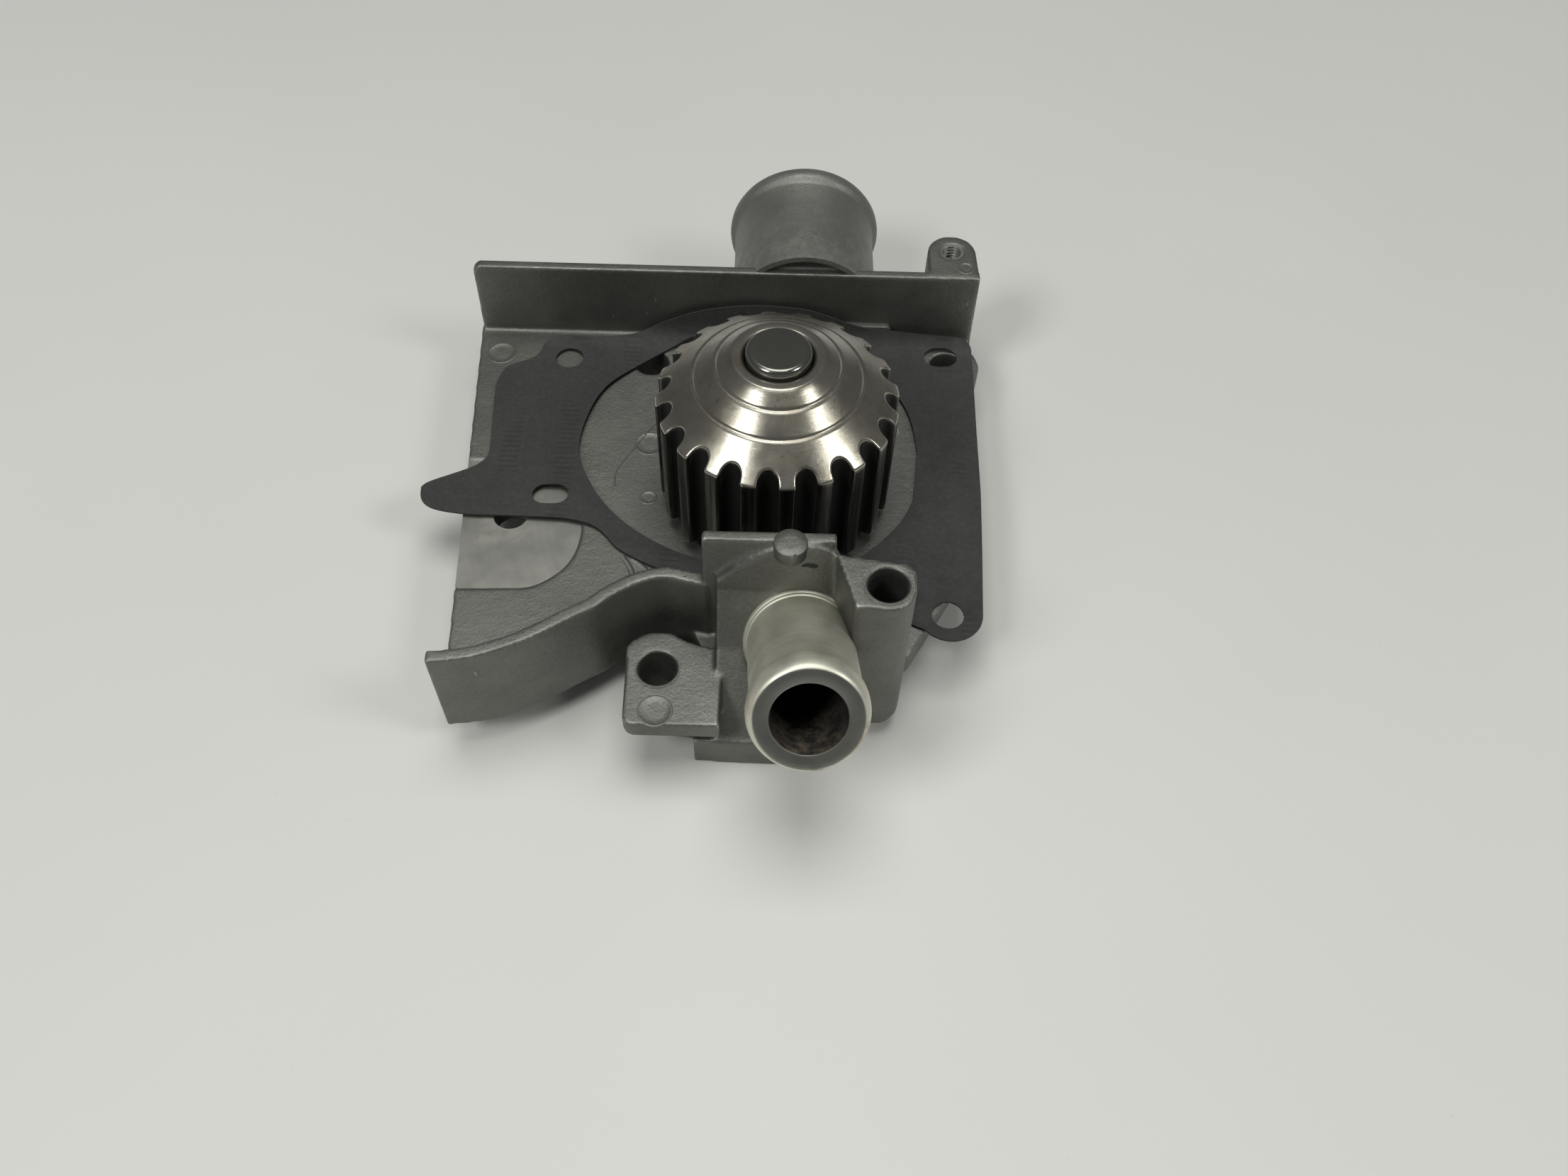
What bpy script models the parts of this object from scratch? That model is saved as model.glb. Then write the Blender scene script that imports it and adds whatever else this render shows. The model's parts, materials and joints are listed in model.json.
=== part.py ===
"""Automotive water pump, driven by a timing belt.

A die-cast aluminium housing carries an integral shaft bearing. The shaft has a
toothed belt sprocket on its nose and an impeller on its tail, and a mechanical
seal keeps the coolant out of the bearing. A loose paper gasket lies on the
housing's tray, round the sprocket.

Every length in this file is in millimetres; the helpers turn it into metres.
X, Y and Z below are measured from the pump's axis of rotation and, for height,
from the rim of the sprocket's cone. The root empty shifts the whole pump so
that it stands on Z = 0 with its bounding box centred on the origin.
"""

import math

import bmesh
import bpy
from mathutils import Matrix, Vector

MM = 0.001
GAP = 0.3

# Heights over the sprocket's rim
BENCH_Z = -52.6
PLATE_TOP = -36.0
PLATE_BOTTOM = -43.5
GUARD_TOP = -15.5
WALL_TOP = -13.0
BELT_PLATE_TOP = 1.0
BOSS_TOP = -1.5
BOSS_BOTTOM = -47.5
LUG_TOP = -31.5
LUG_BOTTOM = -37.0

# Where the axis of rotation stands in the part's own frame
AXIS_X = 17.2
AXIS_Y = -2.6

# Sprocket
TEETH = 20
TIP_RADIUS = 29.65
ROOT_RADIUS = 25.9
LAND_HALF_WIDTH = 1.9
FIRST_TOOTH_DEG = -156.9
SPROCKET_BOTTOM = -32.4
CONE_SLOPE = 0.73
CONE_TOP_RADIUS = 11.2
CUP_RADIUS = 22.0

# Shaft and integral bearing
SHAFT_RADIUS = 7.94
SHAFT_TOP = 15.44
SHAFT_BOTTOM = -50.8
RING_OUTER_RADIUS = 15.0
RING_INNER_RADIUS = 12.6
RING_TOP = -3.5
RING_BOTTOM = -34.5
BALL_COUNT = 8
BALL_RADIUS = 2.55
BALL_ROW_Z = -11.5
ROLLER_COUNT = 9
ROLLER_RADIUS = 2.0
ROLLER_LENGTH = 8.5
ROLLER_ROW_Z = -25.0

# Mechanical seal
CASE_INSIDE_TOP = -36.8
RETAINER_TOP = -41.9
SPRING_RADIUS = 12.9
SPRING_WIRE_RADIUS = 0.5

# Loose paper gasket, thick enough here to make a sound solid
GASKET_THICKNESS = 0.6

# Hose necks
REAR_NECK_X = 7.5
REAR_NECK_END_Y = 98.0
REAR_NECK_END_Z = -28.0
REAR_NECK_RADIUS = 20.6
REAR_NECK_BORE = 17.8
FRONT_NECK_X = 7.6
FRONT_NECK_END_Y = -86.7
FRONT_NECK_END_Z = -5.0
FRONT_NECK_TILT_DEG = 32.5
FRONT_NECK_TURN_DEG = 1.9
FRONT_NECK_LENGTH = 38.8
FRONT_NECK_RADIUS = 12.35
FRONT_NECK_BORE = 8.4

# Face of the arched slab over the small neck
HOOD_FRONT_Y = -46.7

# Bolt holes through the housing: x, y
BOLT_RADIUS = 4.55
HOLE_REAR_LEFT = (-35.6, 46.9)
HOLE_REAR_RIGHT = (48.8, 48.7)
HOLE_BOSS = (24.9, -54.4)
HOLE_LUG = (-26.8, -58.4)
HOLE_PAD = (-68.3, -10.0)
HOLE_EAR = (48.8, 70.2)


# ---------------------------------------------------------------- helpers

def remove_everything():
    for obj in list(bpy.data.objects):
        bpy.data.objects.remove(obj, do_unlink=True)
    for group in list(bpy.data.collections):
        bpy.data.collections.remove(group)


def new_collection(name):
    group = bpy.data.collections.new(name)
    bpy.context.scene.collection.children.link(group)
    return group


def metal(name, colour, roughness, metallic=1.0):
    material = bpy.data.materials.new(name)
    material.use_nodes = True
    shader = material.node_tree.nodes["Principled BSDF"]
    shader.inputs["Base Color"].default_value = (*colour, 1.0)
    shader.inputs["Roughness"].default_value = roughness
    shader.inputs["Metallic"].default_value = metallic
    return material


def keep(obj, material=None):
    """Give a finished piece its material, its collection and its parent."""
    for group in list(obj.users_collection):
        group.objects.unlink(obj)
    PARTS.objects.link(obj)
    obj.data.materials.clear()
    obj.data.materials.append(material)
    obj.parent = ROOT
    obj.data.shade_smooth()
    obj.data.set_sharp_from_angle(angle=math.radians(35))
    return obj


def as_tool(obj):
    """Put an operand of a Boolean among the hidden tools."""
    for group in list(obj.users_collection):
        group.objects.unlink(obj)
    TOOLS.objects.link(obj)
    obj.hide_render = True
    obj.display_type = "WIRE"
    obj.parent = ROOT
    return obj


def boolean(target, tool, operation):
    modifier = target.modifiers.new(f"{operation.lower()} {tool.name}", "BOOLEAN")
    modifier.operation = operation
    modifier.object = as_tool(tool)
    modifier.solver = "EXACT"


def join(target, *tools):
    for tool in tools:
        boolean(target, tool, "UNION")


def cut(target, *tools):
    for tool in tools:
        boolean(target, tool, "DIFFERENCE")


def cylinder(name, radius, low, high, x=0.0, y=0.0, sides=32):
    """An upright cylinder between two heights."""
    bpy.ops.mesh.primitive_cylinder_add(
        vertices=sides, radius=radius * MM, depth=(high - low) * MM,
        location=(x * MM, y * MM, (low + high) / 2 * MM))
    obj = bpy.context.object
    obj.name = name
    return obj


def box(name, low, high):
    size = [(b - a) * MM for a, b in zip(low, high)]
    centre = [(a + b) / 2 * MM for a, b in zip(low, high)]
    bpy.ops.mesh.primitive_cube_add(size=1.0, location=centre)
    obj = bpy.context.object
    obj.name = name
    for vertex in obj.data.vertices:
        vertex.co = Vector(c * s for c, s in zip(vertex.co, size))
    return obj


def turned(name, profile, sides=48):
    """Revolve a closed outline of (radius, z) points about the Z axis.

    The outline starts at the top of the outer side and runs down it.
    """
    mesh = bpy.data.meshes.new(name)
    shape = bmesh.new()
    points = [shape.verts.new((r * MM, 0.0, z * MM)) for r, z in profile]
    for first, second in zip(points, points[1:] + points[:1]):
        if abs(first.co.x) > 1e-7 or abs(second.co.x) > 1e-7:
            shape.edges.new((first, second))
    shape.to_mesh(mesh)
    shape.free()
    obj = bpy.data.objects.new(name, mesh)
    bpy.context.scene.collection.objects.link(obj)
    screw = obj.modifiers.new("turn", "SCREW")
    screw.axis = "Z"
    screw.angle = math.tau
    screw.steps = sides
    screw.render_steps = sides
    screw.use_merge_vertices = True
    screw.merge_threshold = 0.00001
    return obj


def to_mesh(obj):
    """Replace an object by a plain mesh of its evaluated shape."""
    bpy.context.view_layer.update()
    evaluated = obj.evaluated_get(bpy.context.evaluated_depsgraph_get())
    mesh = bpy.data.meshes.new_from_object(evaluated)
    shape = bmesh.new()
    shape.from_mesh(mesh)
    bmesh.ops.remove_doubles(shape, verts=shape.verts, dist=0.000001)
    shape.to_mesh(mesh)
    shape.free()
    name = obj.name
    place = obj.matrix_world.copy()
    bpy.data.objects.remove(obj, do_unlink=True)
    result = bpy.data.objects.new(name, mesh)
    result.matrix_world = place
    bpy.context.scene.collection.objects.link(result)
    return result


def prism(name, outlines, low, high, placement=None):
    """A flat outline, with any inner outlines as holes, made solid from low to high."""
    curve = bpy.data.curves.new(name, "CURVE")
    curve.dimensions = "2D"
    curve.fill_mode = "BOTH"
    curve.extrude = (high - low) / 2 * MM
    for outline in outlines:
        spline = curve.splines.new("POLY")
        spline.points.add(len(outline) - 1)
        for point, (x, y) in zip(spline.points, outline):
            point.co = (x * MM, y * MM, 0.0, 1.0)
        spline.use_cyclic_u = True
    obj = bpy.data.objects.new(name, curve)
    bpy.context.scene.collection.objects.link(obj)
    lift = Matrix.Translation((0.0, 0.0, (low + high) / 2 * MM))
    obj.matrix_world = (placement or Matrix()) @ lift
    return to_mesh(obj)


def arc(x, y, radius, start_deg, end_deg, steps):
    """Points along an arc, both ends included."""
    points = []
    for i in range(steps + 1):
        angle = math.radians(start_deg + (end_deg - start_deg) * i / steps)
        points.append((x + radius * math.cos(angle), y + radius * math.sin(angle)))
    return points


def smooth(points, steps=5):
    """A Catmull-Rom curve through an open row of points."""
    padded = [points[0], *points, points[-1]]
    result = []
    for a, b, c, d in zip(padded, padded[1:], padded[2:], padded[3:]):
        for i in range(steps):
            t = i / steps
            result.append(tuple(
                0.5 * (2 * q + (r - p) * t + (2 * p - 5 * q + 4 * r - s) * t ** 2
                       + (3 * q - p - 3 * r + s) * t ** 3)
                for p, q, r, s in zip(a, b, c, d)))
    result.append(points[-1])
    return result


def offset_path(points, distance):
    """The row of points moved sideways, to the left of its direction of travel."""
    moved = []
    for i, (x, y) in enumerate(points):
        x0, y0 = points[max(i - 1, 0)]
        x1, y1 = points[min(i + 1, len(points) - 1)]
        length = math.hypot(x1 - x0, y1 - y0)
        moved.append((x - (y1 - y0) / length * distance, y + (x1 - x0) / length * distance))
    return moved


# The plane that a prism is drawn in: along X (outline in Y, Z) or along -Y (outline in X, Z)
ALONG_X = Matrix(((0, 0, 1, 0), (1, 0, 0, 0), (0, 1, 0, 0), (0, 0, 0, 1)))
ALONG_MINUS_Y = Matrix(((1, 0, 0, 0), (0, 0, -1, 0), (0, 1, 0, 0), (0, 0, 0, 1)))


def rear_neck_placement():
    """Takes +Z to the large neck's axis, which points to +Y, and the origin to its mouth."""
    lean = Matrix.Rotation(math.radians(-90), 4, "X")
    return Matrix.Translation(Vector((REAR_NECK_X, REAR_NECK_END_Y, REAR_NECK_END_Z)) * MM) @ lean


def front_neck_placement():
    """Takes +Z to the small neck's axis, which points to -Y and up, and the origin to its mouth."""
    lean = Matrix.Rotation(math.radians(90 - FRONT_NECK_TILT_DEG), 4, "X")
    turn = Matrix.Rotation(math.radians(FRONT_NECK_TURN_DEG), 4, "Z")
    return Matrix.Translation(Vector((FRONT_NECK_X, FRONT_NECK_END_Y, FRONT_NECK_END_Z)) * MM) @ turn @ lean


def placed(obj, placement):
    obj.matrix_world = placement @ obj.matrix_world
    return obj


# ---------------------------------------------------------------- housing

GUARD_FRONT = [(-76.5, -68.2), (-66.0, -66.4), (-55.0, -61.6), (-46.5, -56.0), (-41.0, -52.6),
               (-36.5, -48.6), (-31.0, -45.2), (-25.5, -43.6), (-20.0, -44.6), (-16.0, -45.6),
               (14.0, -46.0)]
GUARD_THICKNESS = 3.2


def rear_wall_outline():
    """The rear wall as seen from the front, narrowing upwards by its casting draft."""
    low = PLATE_BOTTOM + 0.4
    return [(-85.2, low), (56.6, low), (56.0, WALL_TOP), (-83.4, WALL_TOP), (-84.8, WALL_TOP - 1.6)]


def plate_outline():
    """The tray: straight left edge, rear edge along the wall, bolt eye, slanting right edge."""
    outline = [(-85.8, 60.5), (-77.2, -62.0)]
    outline += [(x, y + 1.0) for x, y in smooth(GUARD_FRONT[1:9], 2)]
    outline += [(-16.0, -52.0), (30.0, -54.0), (33.6, -50.2), (51.2, -20.0), (53.6, -8.0), (54.4, 36.0)]
    outline += arc(*HOLE_REAR_RIGHT, 9.3, -40, 40, 6)
    outline += [(56.5, 60.5)]
    return outline


def flange_outline():
    """The mating face under the tray: a ring round the impeller and an eye for each bolt."""
    outline = arc(-6.4, -0.5, 52.0, 100, 30, 10)[::-1]
    outline += arc(HOLE_REAR_LEFT[0], HOLE_REAR_LEFT[1], 9.5, 60, 200, 8)
    outline += arc(-6.4, -0.5, 52.0, 160, 236, 12)
    outline += [(-34.0, -60.0), (-30.0, -64.5), (-18.4, -65.6), (-18.1, -71.6), (8.0, -72.4), (13.5, -64.0)]
    outline += [(29.0, -57.0), (33.2, -47.4)]
    outline += arc(-6.4, -0.5, 52.0, -36, 12, 8)
    outline += arc(HOLE_REAR_RIGHT[0], HOLE_REAR_RIGHT[1], 9.4, -20, 110, 8)
    return outline


def guard_wall():
    """The curved wall along the tray's front edge, drawn as a band of even thickness."""
    front = smooth(GUARD_FRONT[:10], 3)
    back = offset_path(front, GUARD_THICKNESS)
    return prism("guard wall", [front + back[::-1]], PLATE_BOTTOM - 0.2, GUARD_TOP)


def hull(name, points):
    """The convex solid through a cloud of points."""
    mesh = bpy.data.meshes.new(name)
    shape = bmesh.new()
    for x, y, z in points:
        shape.verts.new((x * MM, y * MM, z * MM))
    result = bmesh.ops.convex_hull(shape, input=shape.verts)
    inner = list(set(result["geom_interior"] + result["geom_unused"]))
    bmesh.ops.delete(shape, geom=inner, context="VERTS")
    bmesh.ops.recalc_face_normals(shape, faces=shape.faces)
    shape.to_mesh(mesh)
    shape.free()
    obj = bpy.data.objects.new(name, mesh)
    bpy.context.scene.collection.objects.link(obj)
    return obj


def front_block():
    """The hood behind the small neck: an arched slab in front of the belt plate."""
    low = BENCH_Z + 0.2
    arch = [(-13.2, -12.0), (-7.0, -5.7), (-1.0, -1.4), (4.0, 0.7), (8.6, 0.1), (13.7, -4.6), (17.6, -12.0)]
    arch += [(21.4, -28.0), (21.4, low), (-13.2, low)]
    return hull("front block", [(x, y, z) for x, z in arch for y in (HOOD_FRONT_Y, -43.0)])


def front_slope():
    """The block under the small neck, with a face square to the neck's axis."""
    low = BENCH_Z + 0.2
    top = -15.0
    points = [(-13.2, HOOD_FRONT_Y, top), (18.6, HOOD_FRONT_Y, top), (-13.2, -43.2, top), (18.6, -43.2, top)]
    points += [(-13.2, -71.5, low), (8.0, -71.5, low), (-13.2, -43.2, low), (21.4, -43.2, low)]
    points += [(21.4, -50.0, low)]
    return hull("front slope", points)


def front_ramp():
    """The foot of the block, less steep than the face above it."""
    low = BENCH_Z + 0.2
    top = -26.0
    edge = PLATE_BOTTOM + 0.5
    points = [(-13.2, -53.8, top), (20.4, -53.8, top), (-13.2, -43.2, top), (20.4, -43.2, top)]
    points += [(-13.0, -72.1, edge), (9.0, -72.6, edge), (-13.0, -72.1, low), (9.0, -72.6, low)]
    points += [(20.4, -58.0, low), (20.4, -43.2, low), (-13.2, -43.2, low)]
    return hull("front ramp", points)


def boss_outline():
    outline = [(13.6, -46.2), (14.0, -47.7), (17.6, -60.7)]
    outline += arc(25.0, -54.9, 6.2, -95, 0, 6)
    outline += [(31.2, -50.4), (29.4, -48.5)]
    return outline


def lug_outline():
    outline = [(-12.0, -73.8)]
    outline += arc(-31.6, -71.0, 2.6, -90, -180, 4)
    outline += [(-34.4, -58.5)]
    outline += arc(HOLE_LUG[0], -57.0, 8.6, 150, 60, 6)
    outline += [(-20.1, -50.8), (-12.0, -53.0)]
    return outline


def tab_outline():
    """The small ear with the tapped hole, behind the rear wall's right end."""
    outline = [(42.0, 60.0)]
    outline += arc(*HOLE_EAR, 6.8, 175, 5, 10)
    outline += [(56.0, 60.0)]
    return outline


def rear_neck():
    """Large hose neck: tube with a rounded bead at its mouth."""
    radius = REAR_NECK_RADIUS
    profile = [(radius + 0.6, 0.0), (radius + 1.5, -1.0), (radius + 1.5, -3.8), (radius, -5.6),
               (radius + 0.5, -36.4), (0.0, -36.4), (0.0, 0.0)]
    return placed(to_mesh(turned("rear neck", profile, 48)), rear_neck_placement())


def front_neck():
    """Small hose neck: machined tube with a bead, standing on a round shoulder."""
    radius = FRONT_NECK_RADIUS
    profile = [(radius - 0.7, 0.0), (radius + 0.85, -1.8), (radius + 0.85, -4.6), (radius, -7.2),
               (radius + 0.2, 0.8 - FRONT_NECK_LENGTH), (radius + 0.85, -FRONT_NECK_LENGTH),
               (radius + 0.85, -FRONT_NECK_LENGTH - 4.0), (0.0, -FRONT_NECK_LENGTH - 4.0), (0.0, 0.0)]
    return placed(to_mesh(turned("front neck", profile, 40)), front_neck_placement())


def bearing_boss():
    """The upright sleeve that holds the bearing, inside the sprocket's cup, and its seal seat below."""
    profile = [(18.6, -5.5), (19.4, PLATE_TOP - 2.0), (19.8, -44.2), (0.0, -44.2), (0.0, -5.5)]
    return turned("bearing boss", profile, 48)


def pump_housing():
    body = prism("pump_housing", [plate_outline()], PLATE_BOTTOM, PLATE_TOP)
    join(body, prism("mating flange", [flange_outline()], BENCH_Z, PLATE_BOTTOM + 1.0))
    join(body, prism("rear wall", [rear_wall_outline()], -61.8, -58.8, ALONG_MINUS_Y))
    join(body, guard_wall())
    join(body, box("belt plate", (-16.4, -45.2, PLATE_BOTTOM + 0.7), (13.7, -42.4, BELT_PLATE_TOP)))
    join(body, front_block())
    join(body, front_slope())
    join(body, front_ramp())
    join(body, placed(cylinder("neck collar", 15.0, -41.5, -FRONT_NECK_LENGTH - 0.3), front_neck_placement()))
    join(body, prism("bolt boss", [boss_outline()], BOSS_BOTTOM, BOSS_TOP))
    join(body, prism("bolt lug", [lug_outline()], LUG_BOTTOM, LUG_TOP))
    join(body, cylinder("lug column", 6.6, BENCH_Z + 0.3, LUG_TOP - 1.0, *HOLE_LUG, 24))
    join(body, prism("tapped ear", [tab_outline()], -30.0, WALL_TOP + 0.2))
    join(body, box("neck root", (-10.0, 61.0, BENCH_Z + 0.2), (25.0, 74.0, -30.0)))
    join(body, rear_neck(), front_neck())

    cut(body, cylinder("impeller pocket", 44.0, BENCH_Z - 1.0, -40.2, -6.4, -0.5, 56))
    join(body, to_mesh(bearing_boss()))
    cut(body, cylinder("bearing bore", RING_OUTER_RADIUS + GAP, -48.0, 2.0, sides=48))
    cut(body, box("rear duct", (-8.0, 38.0, BENCH_Z + 2.2), (23.0, 71.0, -40.6)))
    cut(body, box("front duct", (-0.6, -60.0, BENCH_Z + 2.2), (13.8, -38.0, -40.6)))
    cut(body, cylinder("front drop", 6.8, -45.0, -27.0, 6.2, -51.2, 28))
    cut(body, placed(cylinder("rear bore", REAR_NECK_BORE, -32.0, 4.0, sides=44), rear_neck_placement()))
    cut(body, placed(cylinder("front bore", FRONT_NECK_BORE, -44.0, 4.0, sides=36), front_neck_placement()))

    for number, (x, y) in enumerate((HOLE_REAR_LEFT, HOLE_REAR_RIGHT, HOLE_BOSS, HOLE_LUG), 1):
        cut(body, cylinder(f"bolt hole {number}", BOLT_RADIUS, BENCH_Z - 2.0, 4.0, x, y, 24))
    cut(body, cylinder("pad hole", 4.4, PLATE_BOTTOM - 2.0, 4.0, *HOLE_PAD, 24))
    cut(body, cylinder("tapped hole", 2.6, -26.0, 4.0, *HOLE_EAR, 20))
    return keep(body, metal("cast_aluminium", (0.52, 0.52, 0.51), 0.5))


# ---------------------------------------------------------------- rotor

def tooth_outline():
    """The belt teeth: narrow lands between round-bottomed grooves."""
    pitch = 360.0 / TEETH
    land = math.degrees(math.asin(LAND_HALF_WIDTH / TIP_RADIUS))
    groove_radius = 2.45
    centre = ROOT_RADIUS + groove_radius
    outline = []
    for tooth in range(TEETH):
        middle = FIRST_TOOTH_DEG + pitch * tooth
        for angle in (middle - land, middle, middle + land):
            turn = math.radians(angle)
            outline.append((TIP_RADIUS * math.cos(turn), TIP_RADIUS * math.sin(turn)))
        groove = math.radians(middle + pitch / 2)
        along = Vector((math.cos(groove), math.sin(groove)))
        across = Vector((-along.y, along.x))
        for turn in (0, 36, 72, 108, 144, 180):
            swing = math.radians(turn)
            depth = groove_radius * math.sin(swing)
            point = along * (centre - depth) - across * groove_radius * math.cos(swing)
            outline.append((point.x, point.y))
    return outline


def timing_belt_sprocket():
    teeth = prism("timing_belt_sprocket", [tooth_outline()], SPROCKET_BOTTOM, 16.0)
    rim = TIP_RADIUS + 0.6
    top = CONE_SLOPE * (TIP_RADIUS - CONE_TOP_RADIUS)
    profile = [(CONE_TOP_RADIUS, top), (rim, CONE_SLOPE * (TIP_RADIUS - rim)), (rim, SPROCKET_BOTTOM - 1.0),
               (CUP_RADIUS, SPROCKET_BOTTOM - 1.0), (CUP_RADIUS, -0.5), (13.4, 4.6), (13.4, -1.6),
               (SHAFT_RADIUS + GAP, -1.6), (SHAFT_RADIUS + GAP, top - 0.9), (SHAFT_RADIUS + GAP + 0.5, top)]
    boolean(teeth, turned("sprocket envelope", profile, 80), "INTERSECT")
    return keep(teeth, metal("sintered_steel", (0.44, 0.42, 0.38), 0.36))


def pump_shaft():
    """The bearing's inner race and the pump's shaft are one ground bar with a shallow race groove."""
    radius = SHAFT_RADIUS
    profile = [(radius - 1.1, SHAFT_TOP), (radius, SHAFT_TOP - 1.0)]
    for step in range(7):
        depth = 0.55 * max(math.sin(math.radians(30 * step)), 0.0)
        profile.append((radius - depth, BALL_ROW_Z + 1.8 * math.cos(math.radians(30 * step))))
    profile += [(radius, SHAFT_BOTTOM + 1.0), (radius - 1.0, SHAFT_BOTTOM)]
    profile += [(0.0, SHAFT_BOTTOM), (0.0, SHAFT_TOP)]
    return keep(turned("pump_shaft", profile, 32), metal("ground_steel", (0.46, 0.46, 0.45), 0.25))


def impeller():
    """An open impeller: a disc under six curved vanes and a hub on the shaft's tail."""
    body = turned("impeller", [(12.4, -48.3), (12.4, -49.4), (33.0, -49.8), (33.0, -51.2),
                               (SHAFT_RADIUS + GAP, -51.2), (SHAFT_RADIUS + GAP, -48.3)], 36)
    for vane in range(6):
        path = [(15.0, 0.0), (19.0, -2.4), (24.5, -7.0), (29.0, -13.4)]
        row = smooth(path, 3)
        band = offset_path(row, 1.1) + offset_path(row, -1.1)[::-1]
        tool = prism(f"vane {vane + 1}", [band], -50.4, -44.9, Matrix.Rotation(math.tau * vane / 6, 4, "Z"))
        join(body, tool)
    return keep(body, metal("stamped_steel", (0.40, 0.39, 0.37), 0.42))


# ---------------------------------------------------------------- bearing

def bearing_outer_ring():
    outer = RING_OUTER_RADIUS
    inner = RING_INNER_RADIUS
    profile = [(outer - 0.5, RING_TOP), (outer, RING_TOP - 0.5), (outer, RING_BOTTOM + 0.5),
               (outer - 0.5, RING_BOTTOM), (inner, RING_BOTTOM)]
    for step in range(7):
        swing = math.radians(30 * step)
        profile.append((inner + 0.55 * math.sin(swing), BALL_ROW_Z - 1.8 * math.cos(swing)))
    profile.append((inner, RING_TOP))
    return keep(turned("bearing_outer_ring", profile, 32), metal("bearing_steel", (0.50, 0.50, 0.50), 0.22))


def row_centre():
    return (SHAFT_RADIUS + RING_INNER_RADIUS) / 2


def bearing_balls():
    """One shared ball, placed round the front row."""
    bpy.ops.mesh.primitive_uv_sphere_add(segments=12, ring_count=7, radius=BALL_RADIUS * MM)
    pattern = bpy.context.object
    material = metal("ball_steel", (0.62, 0.62, 0.63), 0.12)
    for number in range(BALL_COUNT):
        angle = math.tau * number / BALL_COUNT
        ball = pattern if number == 0 else bpy.data.objects.new("ball", pattern.data)
        if number:
            bpy.context.scene.collection.objects.link(ball)
        ball.name = f"bearing_ball_{number + 1}"
        x = row_centre() * math.cos(angle)
        y = row_centre() * math.sin(angle)
        ball.location = (x * MM, y * MM, BALL_ROW_Z * MM)
        keep(ball, material)


def bearing_rollers():
    """One shared roller, placed round the rear row."""
    bpy.ops.mesh.primitive_cylinder_add(vertices=12, radius=ROLLER_RADIUS * MM, depth=ROLLER_LENGTH * MM)
    pattern = bpy.context.object
    material = metal("roller_steel", (0.60, 0.60, 0.61), 0.14)
    for number in range(ROLLER_COUNT):
        angle = math.tau * number / ROLLER_COUNT
        roller = pattern if number == 0 else bpy.data.objects.new("roller", pattern.data)
        if number:
            bpy.context.scene.collection.objects.link(roller)
        roller.name = f"bearing_roller_{number + 1}"
        roller.location = (row_centre() * math.cos(angle) * MM, row_centre() * math.sin(angle) * MM,
                           ROLLER_ROW_Z * MM)
        keep(roller, material)


def cage(name, count, centre_z, height, pocket_radius, colour):
    """A thin sleeve between shaft and ring, with a pocket for each rolling element."""
    middle = row_centre()
    low = centre_z - height / 2
    high = centre_z + height / 2
    outer = middle + 0.8
    inner = middle - 0.8
    sleeve = turned(name, [(outer, high), (outer, low), (inner, low), (inner, high)], 32)
    for number in range(count):
        angle = math.tau * number / count
        pocket = cylinder(f"{name} pocket {number + 1}", pocket_radius, -3.0, 3.0, sides=12)
        place = Matrix.Rotation(angle, 4, "Z") @ Matrix.Translation((middle * MM, 0.0, centre_z * MM))
        pocket.matrix_world = place @ Matrix.Rotation(math.radians(90), 4, "Y")
        cut(sleeve, pocket)
    return keep(sleeve, metal(f"{name}_polymer", colour, 0.5, 0.0))


def roller_cage():
    middle = row_centre()
    half = ROLLER_LENGTH / 2
    outer = middle + 0.8
    inner = middle - 0.8
    high = ROLLER_ROW_Z + half + 2.0
    low = ROLLER_ROW_Z - half - 2.0
    sleeve = turned("roller_cage", [(outer, high), (outer, low), (inner, low), (inner, high)], 36)
    reach = ROLLER_RADIUS + GAP
    for number in range(ROLLER_COUNT):
        window = box(f"roller window {number + 1}",
                     (middle - 3.0, -reach, ROLLER_ROW_Z - half - GAP),
                     (middle + 3.0, reach, ROLLER_ROW_Z + half + GAP))
        turn = Matrix.Rotation(math.tau * number / ROLLER_COUNT, 4, "Z")
        window.matrix_world = turn @ window.matrix_world
        cut(sleeve, window)
    return keep(sleeve, metal("roller_cage_polymer", (0.72, 0.66, 0.50), 0.5, 0.0))


def lip_seal(name, top, bottom):
    inner = SHAFT_RADIUS + GAP
    outer = RING_INNER_RADIUS - GAP
    lip = (inner, (top + bottom) / 2)
    profile = [(outer, top), (outer, bottom), (inner + 0.6, bottom), lip, (inner + 0.6, top)]
    return keep(turned(name, profile, 28), metal(f"{name}_rubber", (0.03, 0.03, 0.03), 0.7, 0.0))


# ---------------------------------------------------------------- mechanical seal

def plain_ring(name, inner, outer, low, high, material):
    profile = [(outer, high), (outer, low), (inner, low), (inner, high)]
    return keep(turned(name, profile, 28), material)


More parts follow.
